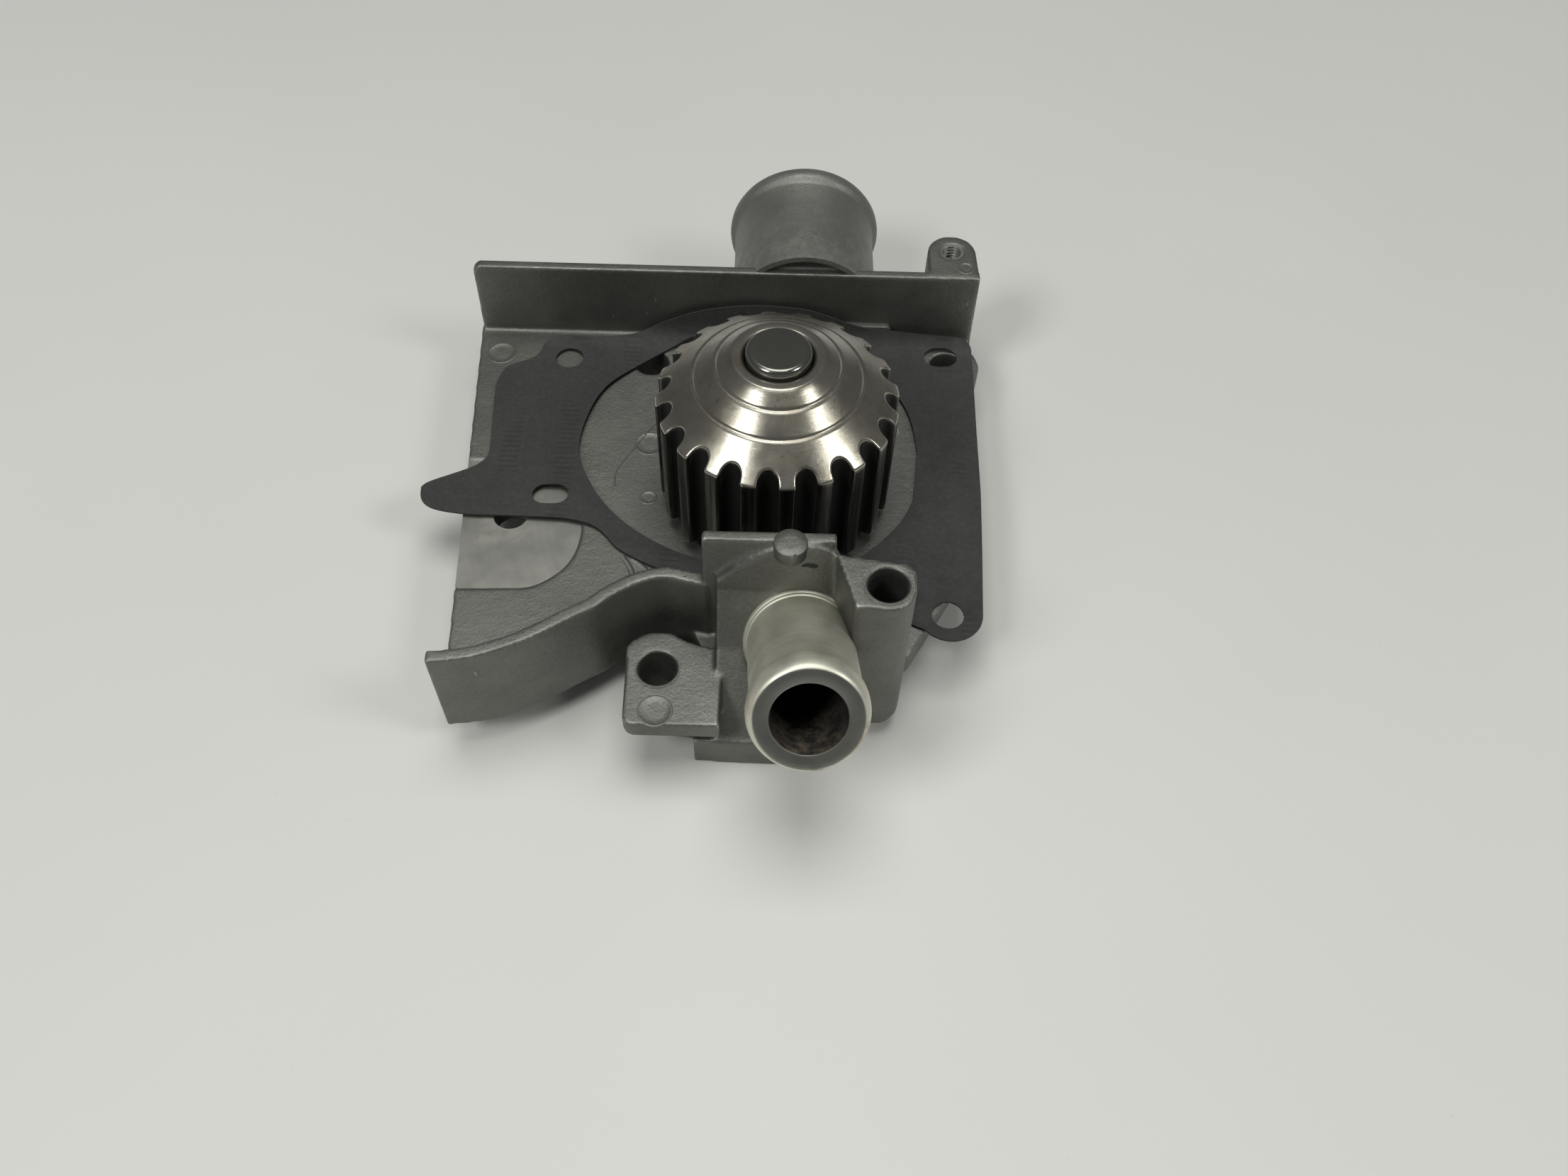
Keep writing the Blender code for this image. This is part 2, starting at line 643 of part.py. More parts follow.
def seal_spring():
    """The coil spring that holds the carbon ring against the ceramic one."""
    turns = 3
    per_turn = 12
    curve = bpy.data.curves.new("seal_spring", "CURVE")
    curve.dimensions = "3D"
    curve.bevel_depth = SPRING_WIRE_RADIUS * MM
    curve.bevel_resolution = 2
    curve.use_fill_caps = True
    spline = curve.splines.new("POLY")
    spline.points.add(turns * per_turn)
    low = RETAINER_TOP + GAP + SPRING_WIRE_RADIUS
    high = CASE_INSIDE_TOP - GAP - SPRING_WIRE_RADIUS
    for i, point in enumerate(spline.points):
        angle = math.tau * i / per_turn
        height = low + (high - low) * i / (turns * per_turn)
        x = SPRING_RADIUS * math.cos(angle)
        y = SPRING_RADIUS * math.sin(angle)
        point.co = (x * MM, y * MM, height * MM, 1.0)
    obj = bpy.data.objects.new("seal_spring", curve)
    bpy.context.scene.collection.objects.link(obj)
    return keep(to_mesh(obj), metal("spring_steel", (0.55, 0.55, 0.54), 0.28))


def seal_bellows(inner, rubber):
    """A rubber sleeve with two folds, between the case and the retainer."""
    top = CASE_INSIDE_TOP - GAP
    bottom = RETAINER_TOP + GAP
    outer = [(inner + 1.0 + 0.7 * (i % 2), top + (bottom - top) * i / 4) for i in range(5)]
    back = [(r - 0.9, z) for r, z in reversed(outer)]
    return keep(turned("seal_bellows", outer + back, 28), rubber)


def seal_parts():
    shaft = SHAFT_RADIUS + GAP
    rubber = metal("nitrile_rubber", (0.02, 0.02, 0.02), 0.75, 0.0)
    stainless = metal("stainless_sheet", (0.58, 0.58, 0.57), 0.3)
    plain_ring("water_slinger", shaft, 11.4, -35.7, -34.9, rubber)
    case = [(15.0, CASE_INSIDE_TOP + 0.6), (15.0, -44.0), (14.3, -44.0), (14.3, CASE_INSIDE_TOP),
            (shaft + 0.5, CASE_INSIDE_TOP), (shaft + 0.5, CASE_INSIDE_TOP + 0.6)]
    keep(turned("seal_case", case, 32), stainless)
    seal_spring()
    seal_bellows(shaft + 0.6, rubber)
    plain_ring("seal_retainer", shaft + 0.6, 14.0, RETAINER_TOP - 0.6, RETAINER_TOP, stainless)
    carbon = metal("carbon", (0.03, 0.03, 0.035), 0.35, 0.0)
    ceramic = metal("ceramic", (0.85, 0.84, 0.80), 0.2, 0.0)
    plain_ring("seal_face_ring", shaft + 0.8, 12.0, -44.6, RETAINER_TOP - 0.6 - GAP, carbon)
    plain_ring("seal_mating_ring", shaft + 1.2, 12.2, -47.0, -44.9, ceramic)
    cup = [(13.6, -45.4), (13.6, -48.0), (shaft, -48.0), (shaft, -47.3), (12.5, -47.3), (12.5, -45.4)]
    keep(turned("mating_ring_cup", cup, 28), rubber)


# ---------------------------------------------------------------- gasket

def gasket_outline():
    outer = [(-92.6, -2.0), (-91.6, -6.6), (-86.6, -9.9), (-71.8, -10.9), (-53.5, -11.6), (-47.5, -13.2),
             (-43.9, -15.7), (-40.0, -20.4), (-34.2, -24.2), (-28.6, -26.8), (-19.0, -30.0), (0.0, -33.0),
             (18.0, -33.0), (28.0, -36.5), (34.2, -41.9)]
    outer += arc(43.9, -38.4, 8.2, 215, 350, 8)
    outer += [(55.2, 20.0), (56.2, 50.0)]
    outer += arc(51.8, 53.4, 4.4, 0, 90, 4)
    outer += smooth([(42.0, 58.6), (33.0, 60.2), (20.0, 64.0), (6.0, 66.6), (-8.0, 66.8), (-22.0, 64.6),
                     (-33.0, 60.2), (-40.5, 56.6), (-48.0, 55.4)], 2)
    outer += arc(-61.7, 49.9, 5.5, 90, 180, 4)
    outer += [(-71.0, 45.6), (-76.4, 42.6), (-78.3, 36.6), (-76.7, 10.3), (-78.1, 7.3)]
    outer += [(-82.4, 4.2), (-89.0, 0.9)]
    return outer


def gasket_openings():
    """The large opening is round except for its flattened front-left side."""
    opening = [(38.4, 14.0), (36.4, 29.0), (30.0, 42.0), (20.0, 52.6), (7.0, 59.0), (-8.0, 60.8),
               (-23.5, 56.6),
               (-38.6, 44.8), (-48.6, 33.6), (-52.8, 16.2), (-50.6, 4.6), (-43.0, -8.0), (-31.1, -18.0),
               (-17.0, -24.2), (2.0, -27.4), (19.0, -23.6), (31.3, -12.4), (37.2, 0.0)]
    closed = smooth(opening[-2:] + opening + opening[:2], 3)
    ring = closed[6:-7]
    left_slot = arc(-60.2, -3.7, 3.2, 90, 270, 8) + arc(-57.0, -3.7, 3.2, -90, 90, 8)
    right_slot = arc(45.8, 50.6, 3.6, 90, 270, 8) + arc(48.2, 50.6, 3.6, -90, 90, 8)
    rear_hole = arc(-58.9, 46.6, 3.9, 0, 342, 19)
    front_hole = arc(43.3, -39.1, 4.0, 0, 342, 19)
    return [ring, rear_hole, front_hole, left_slot, right_slot]


def bend_up(obj, start_y, radius, most_deg):
    """Turn the sheet up past a line, so that it climbs the rear wall."""
    shape = bmesh.new()
    shape.from_mesh(obj.data)
    for step in range(6):
        line = Vector((0.0, (start_y + radius * math.radians(most_deg) * step / 5) * MM, 0.0))
        geometry = shape.verts[:] + shape.edges[:] + shape.faces[:]
        bmesh.ops.bisect_plane(shape, geom=geometry, dist=1e-7, plane_co=line, plane_no=(0.0, 1.0, 0.0))
    for vertex in shape.verts:
        over = vertex.co.y / MM - start_y
        if over <= 0.0:
            continue
        lift = vertex.co.z
        turn = min(over / radius, math.radians(most_deg))
        rest = over - turn * radius
        along = start_y + radius * math.sin(turn) + rest * math.cos(turn)
        vertex.co.y = along * MM - lift * math.sin(turn)
        vertex.co.z = (radius * (1 - math.cos(turn)) + rest * math.sin(turn)) * MM + lift * math.cos(turn)
    shape.to_mesh(obj.data)
    shape.free()


def gasket():
    low = PLATE_TOP + GAP
    sheet = prism("gasket", [gasket_outline(), *gasket_openings()], low, low + GASKET_THICKNESS)
    bend_up(sheet, 51.2, 6.0, 84)
    return keep(sheet, metal("gasket_paper", (0.06, 0.065, 0.07), 0.9, 0.0))


# ---------------------------------------------------------------- assembly

remove_everything()
PARTS = new_collection("water_pump")
TOOLS = new_collection("cutters")
ROOT = bpy.data.objects.new("pump_origin", None)
PARTS.objects.link(ROOT)

pump_housing()
timing_belt_sprocket()
pump_shaft()
impeller()
bearing_outer_ring()
bearing_balls()
bearing_rollers()
cage("ball_cage", BALL_COUNT, BALL_ROW_Z, 7.4, BALL_RADIUS + GAP, (0.72, 0.66, 0.50))
roller_cage()
lip_seal("bearing_seal_front", -4.2, -6.2)
lip_seal("bearing_seal_rear", -32.0, -34.0)
seal_parts()
gasket()

ROOT.location = (AXIS_X * MM, AXIS_Y * MM, -BENCH_Z * MM)
bpy.context.view_layer.update()
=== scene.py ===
import json
import math

import bmesh
import bpy
import numpy as np
from mathutils import Matrix, Vector
from mathutils.geometry import delaunay_2d_cdt

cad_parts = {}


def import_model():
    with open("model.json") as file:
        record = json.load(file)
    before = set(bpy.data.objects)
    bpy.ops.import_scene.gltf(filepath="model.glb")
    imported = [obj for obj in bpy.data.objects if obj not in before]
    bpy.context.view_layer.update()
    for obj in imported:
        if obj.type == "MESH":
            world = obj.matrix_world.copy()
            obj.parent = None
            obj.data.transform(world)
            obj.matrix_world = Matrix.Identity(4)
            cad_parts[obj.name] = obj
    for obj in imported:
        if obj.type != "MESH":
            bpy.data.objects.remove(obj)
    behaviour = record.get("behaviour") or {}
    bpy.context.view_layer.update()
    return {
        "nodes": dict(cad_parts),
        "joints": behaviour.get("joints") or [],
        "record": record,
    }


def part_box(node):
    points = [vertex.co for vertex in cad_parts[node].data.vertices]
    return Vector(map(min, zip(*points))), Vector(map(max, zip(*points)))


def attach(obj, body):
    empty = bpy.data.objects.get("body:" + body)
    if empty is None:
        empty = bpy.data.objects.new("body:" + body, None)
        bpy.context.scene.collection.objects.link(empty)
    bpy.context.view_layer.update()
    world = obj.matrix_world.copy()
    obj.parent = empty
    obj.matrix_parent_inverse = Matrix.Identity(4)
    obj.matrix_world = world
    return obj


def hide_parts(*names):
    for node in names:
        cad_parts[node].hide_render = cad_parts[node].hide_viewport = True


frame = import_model()

# Lengths below are in millimetres, measured from the pump's axis of rotation and,
# for height, from the rim of the sprocket's cone. ORIGIN is that point in the row frame.
MM = 0.001
SHAFT_TOP = 15.44
SPIN = next(joint for joint in frame["joints"] if joint["name"] == "shaft_spin")
ORIGIN = Vector((SPIN["pos_m"][0], SPIN["pos_m"][1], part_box("pump_shaft")[1].z - SHAFT_TOP * MM))
HOUSING = "housing_assembly"
ROTOR = "rotor"

BENCH = -52.6
PLATE_TOP = -36.0
PLATE_BOTTOM = -43.5
WALL_TOP = -13.0
WALL_FRONT = 58.8
WALL_BACK = 61.8
GUARD_TOP = -15.5
BELT_PLATE_TOP = 1.0
BOSS_TOP = -1.5
BOSS_BOTTOM = -47.5
LUG_TOP = -31.5
LUG_BOTTOM = -37.0
EAR_BOTTOM = -30.0
PAD_DEPTH = 0.55

HOLE_REAR_LEFT = (-35.6, 46.9)
HOLE_REAR_RIGHT = (48.8, 48.7)
HOLE_BOSS = (24.9, -54.4)
HOLE_LUG = (-26.8, -58.4)
HOLE_PAD = (-68.3, -10.0)
HOLE_EAR = (48.8, 70.2)
HOOD_FRONT = -46.6
HOOD_LEFT = -13.2

# The flange and the water pocket under the tray share this centre
POCKET = (-6.4, -0.5)
FLANGE_RADIUS = 52.0
POCKET_RADIUS = 44.0

SHAFT_RADIUS = 7.94
SHAFT_BOTTOM = -50.8
RACE_Z = -11.5

# Rounding of the casting's edges
VOXEL = 0.5
SOFTENING_ROUNDS = 9
KEPT_FACES = 0.6

# Stands an outline of (x, z) points upright, with its extrusion along -Y
UPRIGHT = Matrix(((1, 0, 0, 0), (0, 0, -1, 0), (0, 1, 0, 0), (0, 0, 0, 1)))


# ---------------------------------------------------------------- mesh helpers

def link(name, mesh, place=None):
    obj = bpy.data.objects.new(name, mesh)
    bpy.context.scene.collection.objects.link(obj)
    obj.matrix_world = Matrix.Translation(ORIGIN) @ (place or Matrix())
    return obj


def from_faces(name, verts, faces, place=None):
    mesh = bpy.data.meshes.new(name)
    mesh.from_pydata([tuple(c * MM for c in v) for v in verts], [], faces)
    mesh.update()
    return link(name, mesh, place)


def flat_normals_out(obj):
    shape = bmesh.new()
    shape.from_mesh(obj.data)
    bmesh.ops.recalc_face_normals(shape, faces=shape.faces)
    shape.to_mesh(obj.data)
    shape.free()
    return obj


def loft(name, rings, loop=False, place=None):
    """Quads between closed rings of equal length; the two ends are capped unless the rings form a loop."""
    count = len(rings[0])
    verts = [tuple(p) for ring in rings for p in ring]
    faces = []
    rows = len(rings) if loop else len(rings) - 1
    for r in range(rows):
        a = r * count
        b = ((r + 1) % len(rings)) * count
        for i in range(count):
            j = (i + 1) % count
            faces.append((a + i, a + j, b + j, b + i))
    if not loop:
        faces.append(tuple(range(count))[::-1])
        faces.append(tuple(range((len(rings) - 1) * count, len(rings) * count)))
    return flat_normals_out(from_faces(name, verts, faces, place))


def circle(radius, z, count, x=0.0, y=0.0):
    return [(x + radius * math.cos(math.tau * i / count), y + radius * math.sin(math.tau * i / count), z)
            for i in range(count)]


def turned(name, profile, count=96, place=None, loop=True):
    """A closed profile of (radius, z) points turned about Z."""
    return loft(name, [circle(r, z, count) for r, z in profile], loop, place)


def prism(name, low_outline, low, high, high_outline=None, place=None):
    top = high_outline or low_outline
    rings = [[(x, y, low) for x, y in low_outline], [(x, y, high) for x, y in top]]
    return loft(name, rings, False, place)


def cylinder(name, radius, low, high, x=0.0, y=0.0, count=64, place=None):
    return loft(name, [circle(radius, low, count, x, y), circle(radius, high, count, x, y)], False, place)


def box(name, low, high):
    (x0, y0, z0), (x1, y1, z1) = low, high
    return prism(name, [(x0, y0), (x1, y0), (x1, y1), (x0, y1)], z0, z1)


def hull(name, points):
    shape = bmesh.new()
    for p in points:
        shape.verts.new(tuple(c * MM for c in p))
    result = bmesh.ops.convex_hull(shape, input=shape.verts)
    inner = list(set(result["geom_interior"] + result["geom_unused"]))
    bmesh.ops.delete(shape, geom=inner, context="VERTS")
    bmesh.ops.recalc_face_normals(shape, faces=shape.faces)
    mesh = bpy.data.meshes.new(name)
    shape.to_mesh(mesh)
    shape.free()
    return link(name, mesh)


def arc(x, y, radius, start, end, steps):
    points = []
    for i in range(steps + 1):
        a = math.radians(start + (end - start) * i / steps)
        points.append((x + radius * math.cos(a), y + radius * math.sin(a)))
    return points


def smooth(points, steps=5):
    """A Catmull-Rom curve through an open row of points."""
    rows = [np.array(p, float) for p in [points[0], *points, points[-1]]]
    result = []
    for a, b, c, d in zip(rows, rows[1:], rows[2:], rows[3:]):
        for i in range(steps):
            t = i / steps
            result.append(tuple(0.5 * (2 * b + (c - a) * t + (2 * a - 5 * b + 4 * c - d) * t ** 2
                                       + (3 * b - a - 3 * c + d) * t ** 3)))
    result.append(tuple(points[-1]))
    return result


def offset_path(points, distance):
    moved = []
    for i, (x, y) in enumerate(points):
        x0, y0 = points[max(i - 1, 0)]
        x1, y1 = points[min(i + 1, len(points) - 1)]
        length = math.hypot(x1 - x0, y1 - y0)
        moved.append((x - (y1 - y0) / length * distance, y + (x1 - x0) / length * distance))
    return moved


def resample(points, spacing):
    """Even points along a closed outline."""
    p = np.array(points + points[:1], float)
    run = np.concatenate([[0], np.cumsum(np.linalg.norm(np.diff(p, axis=0), axis=1))])
    count = int(run[-1] / spacing)
    s = np.linspace(0, run[-1], count, endpoint=False)
    return np.stack([np.interp(s, run, p[:, 0]), np.interp(s, run, p[:, 1])], 1)


def relax(points, rounds):
    for _ in range(rounds):
        points = 0.5 * points + 0.25 * (np.roll(points, 1, 0) + np.roll(points, -1, 0))
    return points


def add_booleans(base, joins, cuts):
    for operation, tools in (("UNION", joins), ("DIFFERENCE", cuts)):
        for tool in tools:
            modifier = base.modifiers.new(tool.name, "BOOLEAN")
            modifier.operation = operation
            modifier.solver = "EXACT"
            modifier.object = tool


def apply_modifiers(base, tools):
    """Keeps the modifiers' result as the mesh and deletes the tools that made it."""
    bpy.context.view_layer.update()
    evaluated = base.evaluated_get(bpy.context.evaluated_depsgraph_get())
    mesh = bpy.data.meshes.new_from_object(evaluated)
    base.modifiers.clear()
    base.data = mesh
    for tool in tools:
        bpy.data.objects.remove(tool, do_unlink=True)
    return base


def combine_sharp(base, joins, cuts):
    """Joins and cuts solids and keeps their sharp edges."""
    add_booleans(base, joins, cuts)
    return apply_modifiers(base, joins + cuts)


def combine_rounded(base, joins, cuts, voxel):
    """Joins and cuts solids, then rounds every edge a little, as a casting's are."""
    add_booleans(base, joins, cuts)
    remesh = base.modifiers.new("voxels", "REMESH")
    remesh.mode = "VOXEL"
    remesh.voxel_size = voxel * MM
    soften = base.modifiers.new("soften", "SMOOTH")
    soften.factor = 0.5
    soften.iterations = SOFTENING_ROUNDS
    thin = base.modifiers.new("thin", "DECIMATE")
    thin.ratio = KEPT_FACES
    return apply_modifiers(base, joins + cuts)


def finish_piece(obj, material, body, slot, *nodes, angle=None):
    obj.data.materials.clear()
    obj.data.materials.append(material)
    obj.data.shade_smooth()
    if angle:
        obj.data.set_sharp_from_angle(angle=math.radians(angle))
    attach(obj, body)
    if nodes:
        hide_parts(*nodes)
    return obj


# ---------------------------------------------------------------- material helpers

class Shader:
    """A small wrapper that adds and links shader nodes."""

    def __init__(self, name):
        self.material = bpy.data.materials.new(name)
        self.material.use_nodes = True
        self.nodes = self.material.node_tree.nodes
        self.links = self.material.node_tree.links
        self.bsdf = self.nodes["Principled BSDF"]
        self.coords = self.nodes.new("ShaderNodeTexCoord").outputs["Object"]
        self.height = None

    def put(self, socket, value):
        if isinstance(value, (int, float)):
            socket.default_value = value
        elif isinstance(value, tuple):
            socket.default_value = (*value, 1.0) if len(value) == 3 and socket.type == "RGBA" else value
        else:
            self.links.new(value, socket)

    def math(self, operation, a, b=0.0, c=0.0, clamp=False):
        node = self.nodes.new("ShaderNodeMath")
        node.operation = operation
        node.use_clamp = clamp
        for socket, value in zip(node.inputs, (a, b, c)):
            self.put(socket, value)
        return node.outputs[0]

    def stretch(self, scale, turn=0.0):
        node = self.nodes.new("ShaderNodeMapping")
        self.links.new(self.coords, node.inputs["Vector"])
        node.inputs["Scale"].default_value = scale
        node.inputs["Rotation"].default_value = (0.0, 0.0, turn)
        return node.outputs[0]

    def noise(self, scale, detail=3.0, rough=0.55, vector=None):
        node = self.nodes.new("ShaderNodeTexNoise")
        self.links.new(vector or self.coords, node.inputs["Vector"])
        node.inputs["Scale"].default_value = scale
        node.inputs["Detail"].default_value = detail
        node.inputs["Roughness"].default_value = rough
        return node.outputs["Fac"]

    def cells(self, scale, vector=None):
        node = self.nodes.new("ShaderNodeTexVoronoi")
        self.links.new(vector or self.coords, node.inputs["Vector"])
        node.inputs["Scale"].default_value = scale
        return node.outputs["Distance"]

    def ramp(self, value, low, high, out_low=0.0, out_high=1.0):
        node = self.nodes.new("ShaderNodeMapRange")
        self.put(node.inputs["Value"], value)
        node.inputs["From Min"].default_value = low
        node.inputs["From Max"].default_value = high
        node.inputs["To Min"].default_value = out_low
        node.inputs["To Max"].default_value = out_high
        return node.outputs["Result"]

    def mix(self, factor, a, b):
        node = self.nodes.new("ShaderNodeMix")
        node.data_type = "RGBA"
        self.put(node.inputs[0], factor)
        self.put(node.inputs[6], a)
        self.put(node.inputs[7], b)
        return node.outputs[2]

    def axes(self):
        node = self.nodes.new("ShaderNodeSeparateXYZ")
        self.links.new(self.coords, node.inputs[0])
        return node.outputs

    def radius(self):
        x, y, _ = self.axes()
        return self.math("SQRT", self.math("ADD", self.math("MULTIPLY", x, x), self.math("MULTIPLY", y, y)))

    def bump(self, height, strength, distance):
        node = self.nodes.new("ShaderNodeBump")
        node.inputs["Strength"].default_value = strength
        node.inputs["Distance"].default_value = distance
        self.links.new(height, node.inputs["Height"])
        if self.height:
            self.links.new(self.height, node.inputs["Normal"])
        self.height = node.outputs[0]
        self.links.new(self.height, self.bsdf.inputs["Normal"])

    def edges(self, low, high):
        node = self.nodes.new("ShaderNodeNewGeometry")
        return self.ramp(node.outputs["Pointiness"], low, high)

    def done(self, color, roughness, metallic):
        self.put(self.bsdf.inputs["Base Color"], color)
        self.put(self.bsdf.inputs["Roughness"], roughness)
        self.put(self.bsdf.inputs["Metallic"], metallic)
        return self.material


def cast_metal(name, dark, light, wear_and_highlight_tone, edge_wear_and_highlight=0.8, painted_dent_shade=(), metallic=0.88):
    """Die-cast aluminium: mottled grey, fine grain, pores, scratches, lighter edges that are partly wear from
    rubbing and partly painted highlight, and optional dark spots of painted shade where the casting is
    dented.
    """
    s = Shader(name)
    cloud = s.ramp(s.noise(38.0, 5.0, 0.6), 0.34, 0.68)
    grain = s.noise(1500.0, 2.0, 0.6)
    color = s.mix(cloud, dark, light)
    color = s.mix(s.ramp(grain, 0.35, 0.75, 0.0, 0.22), color, tuple(c * 1.7 for c in light))
    pitted = s.ramp(s.noise(70.0), 0.55, 0.62)
    pores = s.math("MULTIPLY", s.ramp(s.cells(260.0), 0.10, 0.04), pitted, clamp=True)
    color = s.mix(s.math("MULTIPLY", pores, 0.75), color, (0.045, 0.043, 0.04))
    # Painted shade: each listed dent on the hood's front face is painted as a dark patch standing in for its
    # shade; no dent is modelled in the geometry.
    for (cx, cz), (rx, rz) in painted_dent_shade:
        x, y, z = s.axes()
        dx = s.math("DIVIDE", s.math("SUBTRACT", x, cx * MM), rx * MM)
        dz = s.math("DIVIDE", s.math("SUBTRACT", z, cz * MM), rz * MM)
        far = s.math("ADD", s.math("MULTIPLY", dx, dx), s.math("MULTIPLY", dz, dz))
        far = s.math("ADD", far, s.ramp(s.noise(900.0, 3.0), 0.3, 0.7, -0.5, 0.5))
        dent_shade = s.math("MULTIPLY", s.ramp(far, 1.1, 0.6), s.ramp(y, -0.0440, -0.0455), clamp=True)
        color = s.mix(s.math("MULTIPLY", dent_shade, 0.85), color, (0.02, 0.02, 0.02))
    # Lighter convex edges: partly real wear from rubbing, partly a painted highlight where the edges catch
    # the light.
    patchy = s.ramp(s.noise(320.0, 5.0, 0.7), 0.44, 0.62, 0.0, edge_wear_and_highlight)
    lighter_edge = s.math("MULTIPLY", s.edges(0.52, 0.57), patchy, clamp=True)
    lines = s.ramp(s.noise(1.0, 2.0, 0.5, s.stretch((520.0, 30.0, 200.0), 0.6)), 0.70, 0.74)
    lines = s.math("MULTIPLY", lines, s.ramp(s.noise(60.0), 0.56, 0.62), clamp=True)
    wear_and_highlight = s.math("MAXIMUM", lighter_edge, s.math("MULTIPLY", lines, 0.6))
    color = s.mix(wear_and_highlight, color, wear_and_highlight_tone)
    s.bump(s.noise(420.0, 3.0, 0.6), 0.16, 0.0006)
    s.bump(grain, 0.22, 0.0003)
    s.bump(pores, 0.5, -0.0003)
    rough = s.ramp(s.noise(90.0, 4.0), 0.3, 0.7, 0.43, 0.56)
    return s.done(color, s.math("SUBTRACT", rough, s.math("MULTIPLY", wear_and_highlight, 0.12)), metallic)


def machined_metal(name, base, stain, ring_scale, rough_low, rough_high):
    """Turned or milled metal with fine tool lines and a few stains."""
    s = Shader(name)
    wobble = s.math("ADD", s.math("MULTIPLY", s.radius(), ring_scale), s.math("MULTIPLY", s.noise(60.0), 3.0))
    combined = s.nodes.new("ShaderNodeCombineXYZ")
    s.links.new(wobble, combined.inputs[0])
    rings = s.noise(1.0, 3.0, 0.7, combined.outputs[0])
    spotted = s.ramp(s.noise(30.0), 0.45, 0.6)
    spots = s.math("MULTIPLY", s.ramp(s.noise(75.0, 5.0, 0.65), 0.52, 0.66), spotted, clamp=True)
    color = s.mix(s.ramp(rings, 0.3, 0.7, 0.0, 0.35), base, tuple(c * 0.72 for c in base))
    color = s.mix(s.math("MULTIPLY", spots, 0.6), color, stain)
    s.bump(rings, 0.12, 0.0002)
    s.bump(s.noise(900.0, 3.0), 0.06, 0.0002)
    rough = s.ramp(s.noise(120.0, 4.0), 0.3, 0.7, rough_low, rough_high)
    return s.done(color, s.math("ADD", rough, s.math("MULTIPLY", spots, 0.2)), 0.9)


def plain_finish(name, color, other, scale, rough_low, rough_high, metallic, grain):
    """Any simpler material: two close tones, uneven gloss and a fine surface grain."""
    s = Shader(name)
    tone = s.mix(s.ramp(s.noise(scale, 4.0), 0.3, 0.7), color, other)
    s.bump(s.noise(scale * 14.0, 3.0), grain, 0.0002)
    return s.done(tone, s.ramp(s.noise(scale * 2.2, 3.0), 0.3, 0.7, rough_low, rough_high), metallic)


# ---------------------------------------------------------------- housing

GUARD_FRONT = [(-76.5, -68.2), (-66.0, -66.4), (-55.0, -61.6), (-46.5, -56.0), (-41.0, -52.6),
               (-36.5, -48.6), (-31.0, -45.2), (-25.5, -43.6), (-20.0, -44.6), (-15.6, -45.6)]


def plate_outline():
    outline = [(-85.8, 60.5), (-77.2, -62.0)]
    outline += [(x, y + 1.0) for x, y in smooth(GUARD_FRONT[1:9], 4)]
    outline += [(-16.0, -52.0), (30.0, -54.0), (33.6, -50.2), (51.2, -20.0), (53.6, -8.0), (54.4, 36.0)]
    outline += arc(*HOLE_REAR_RIGHT, 9.3, -40, 40, 12)
    outline += [(56.5, 60.5)]
    return outline


def flange_outline():
    outline = arc(*POCKET, FLANGE_RADIUS, 100, 30, 24)[::-1]
    outline += arc(*HOLE_REAR_LEFT, 9.5, 60, 200, 16)
    outline += arc(*POCKET, FLANGE_RADIUS, 160, 236, 24)
    outline += [(-34.0, -60.0), (-30.0, -64.5), (-18.4, -65.6), (-18.1, -71.6), (8.0, -72.4), (13.5, -64.0)]
    outline += [(29.0, -57.0), (33.2, -47.4)]
    outline += arc(*POCKET, FLANGE_RADIUS, -36, 12, 16)
    outline += arc(*HOLE_REAR_RIGHT, 9.0, -20, 110, 16)
    return outline


def boss_outline(front):
    outline = [(13.6, -46.2), (14.0, -47.7), (17.6, front - 5.6)]
    outline += arc(25.0, front, 6.2, -95, 0, 12)
    outline += [(31.2, -50.4), (29.4, -48.5)]
    return outline


def lug_outline():
    outline = [(-11.6, -73.8)]
    outline += arc(-31.6, -71.0, 2.6, -90, -180, 8)
    outline += [(-34.4, -58.5)]
    outline += arc(HOLE_LUG[0], -57.0, 9.0, 150, 68, 14)
    outline += [(-20.6, -50.4), (-17.0, -51.7), (-11.6, -52.6)]
    return outline


def ear_outline():
    return [(42.0, 60.0)] + arc(*HOLE_EAR, 6.8, 175, 5, 20) + [(56.0, 60.0)]


def pad_outline():
    """The machined patch at the tray's left end."""
    return smooth([(-79.2, -33.9), (-68.7, -33.5), (-61.0, -33.0), (-56.0, -30.2), (-52.2, -26.2),
                   (-50.0, -21.0), (-49.3, -14.0), (-50.4, -6.0), (-53.0, 0.0), (-58.0, 5.2), (-66.0, 8.0),
                   (-74.0, 8.6), (-82.2, 8.8)], 4)


def neck_axis(x, y, z, turn, tip):
    """The middle of a neck's mouth, with Z along the neck towards the hose."""
    turned_tip = Matrix.Rotation(math.radians(turn), 4, "Z") @ Matrix.Rotation(math.radians(tip), 4, "X")
    return Matrix.Translation(Vector((x, y, z)) * MM) @ turned_tip


FRONT_AXIS = neck_axis(7.6, -86.7, -5.0, 1.9, 57.5)
REAR_AXIS = neck_axis(7.5, 98.0, -28.0, 0.0, -90.0)


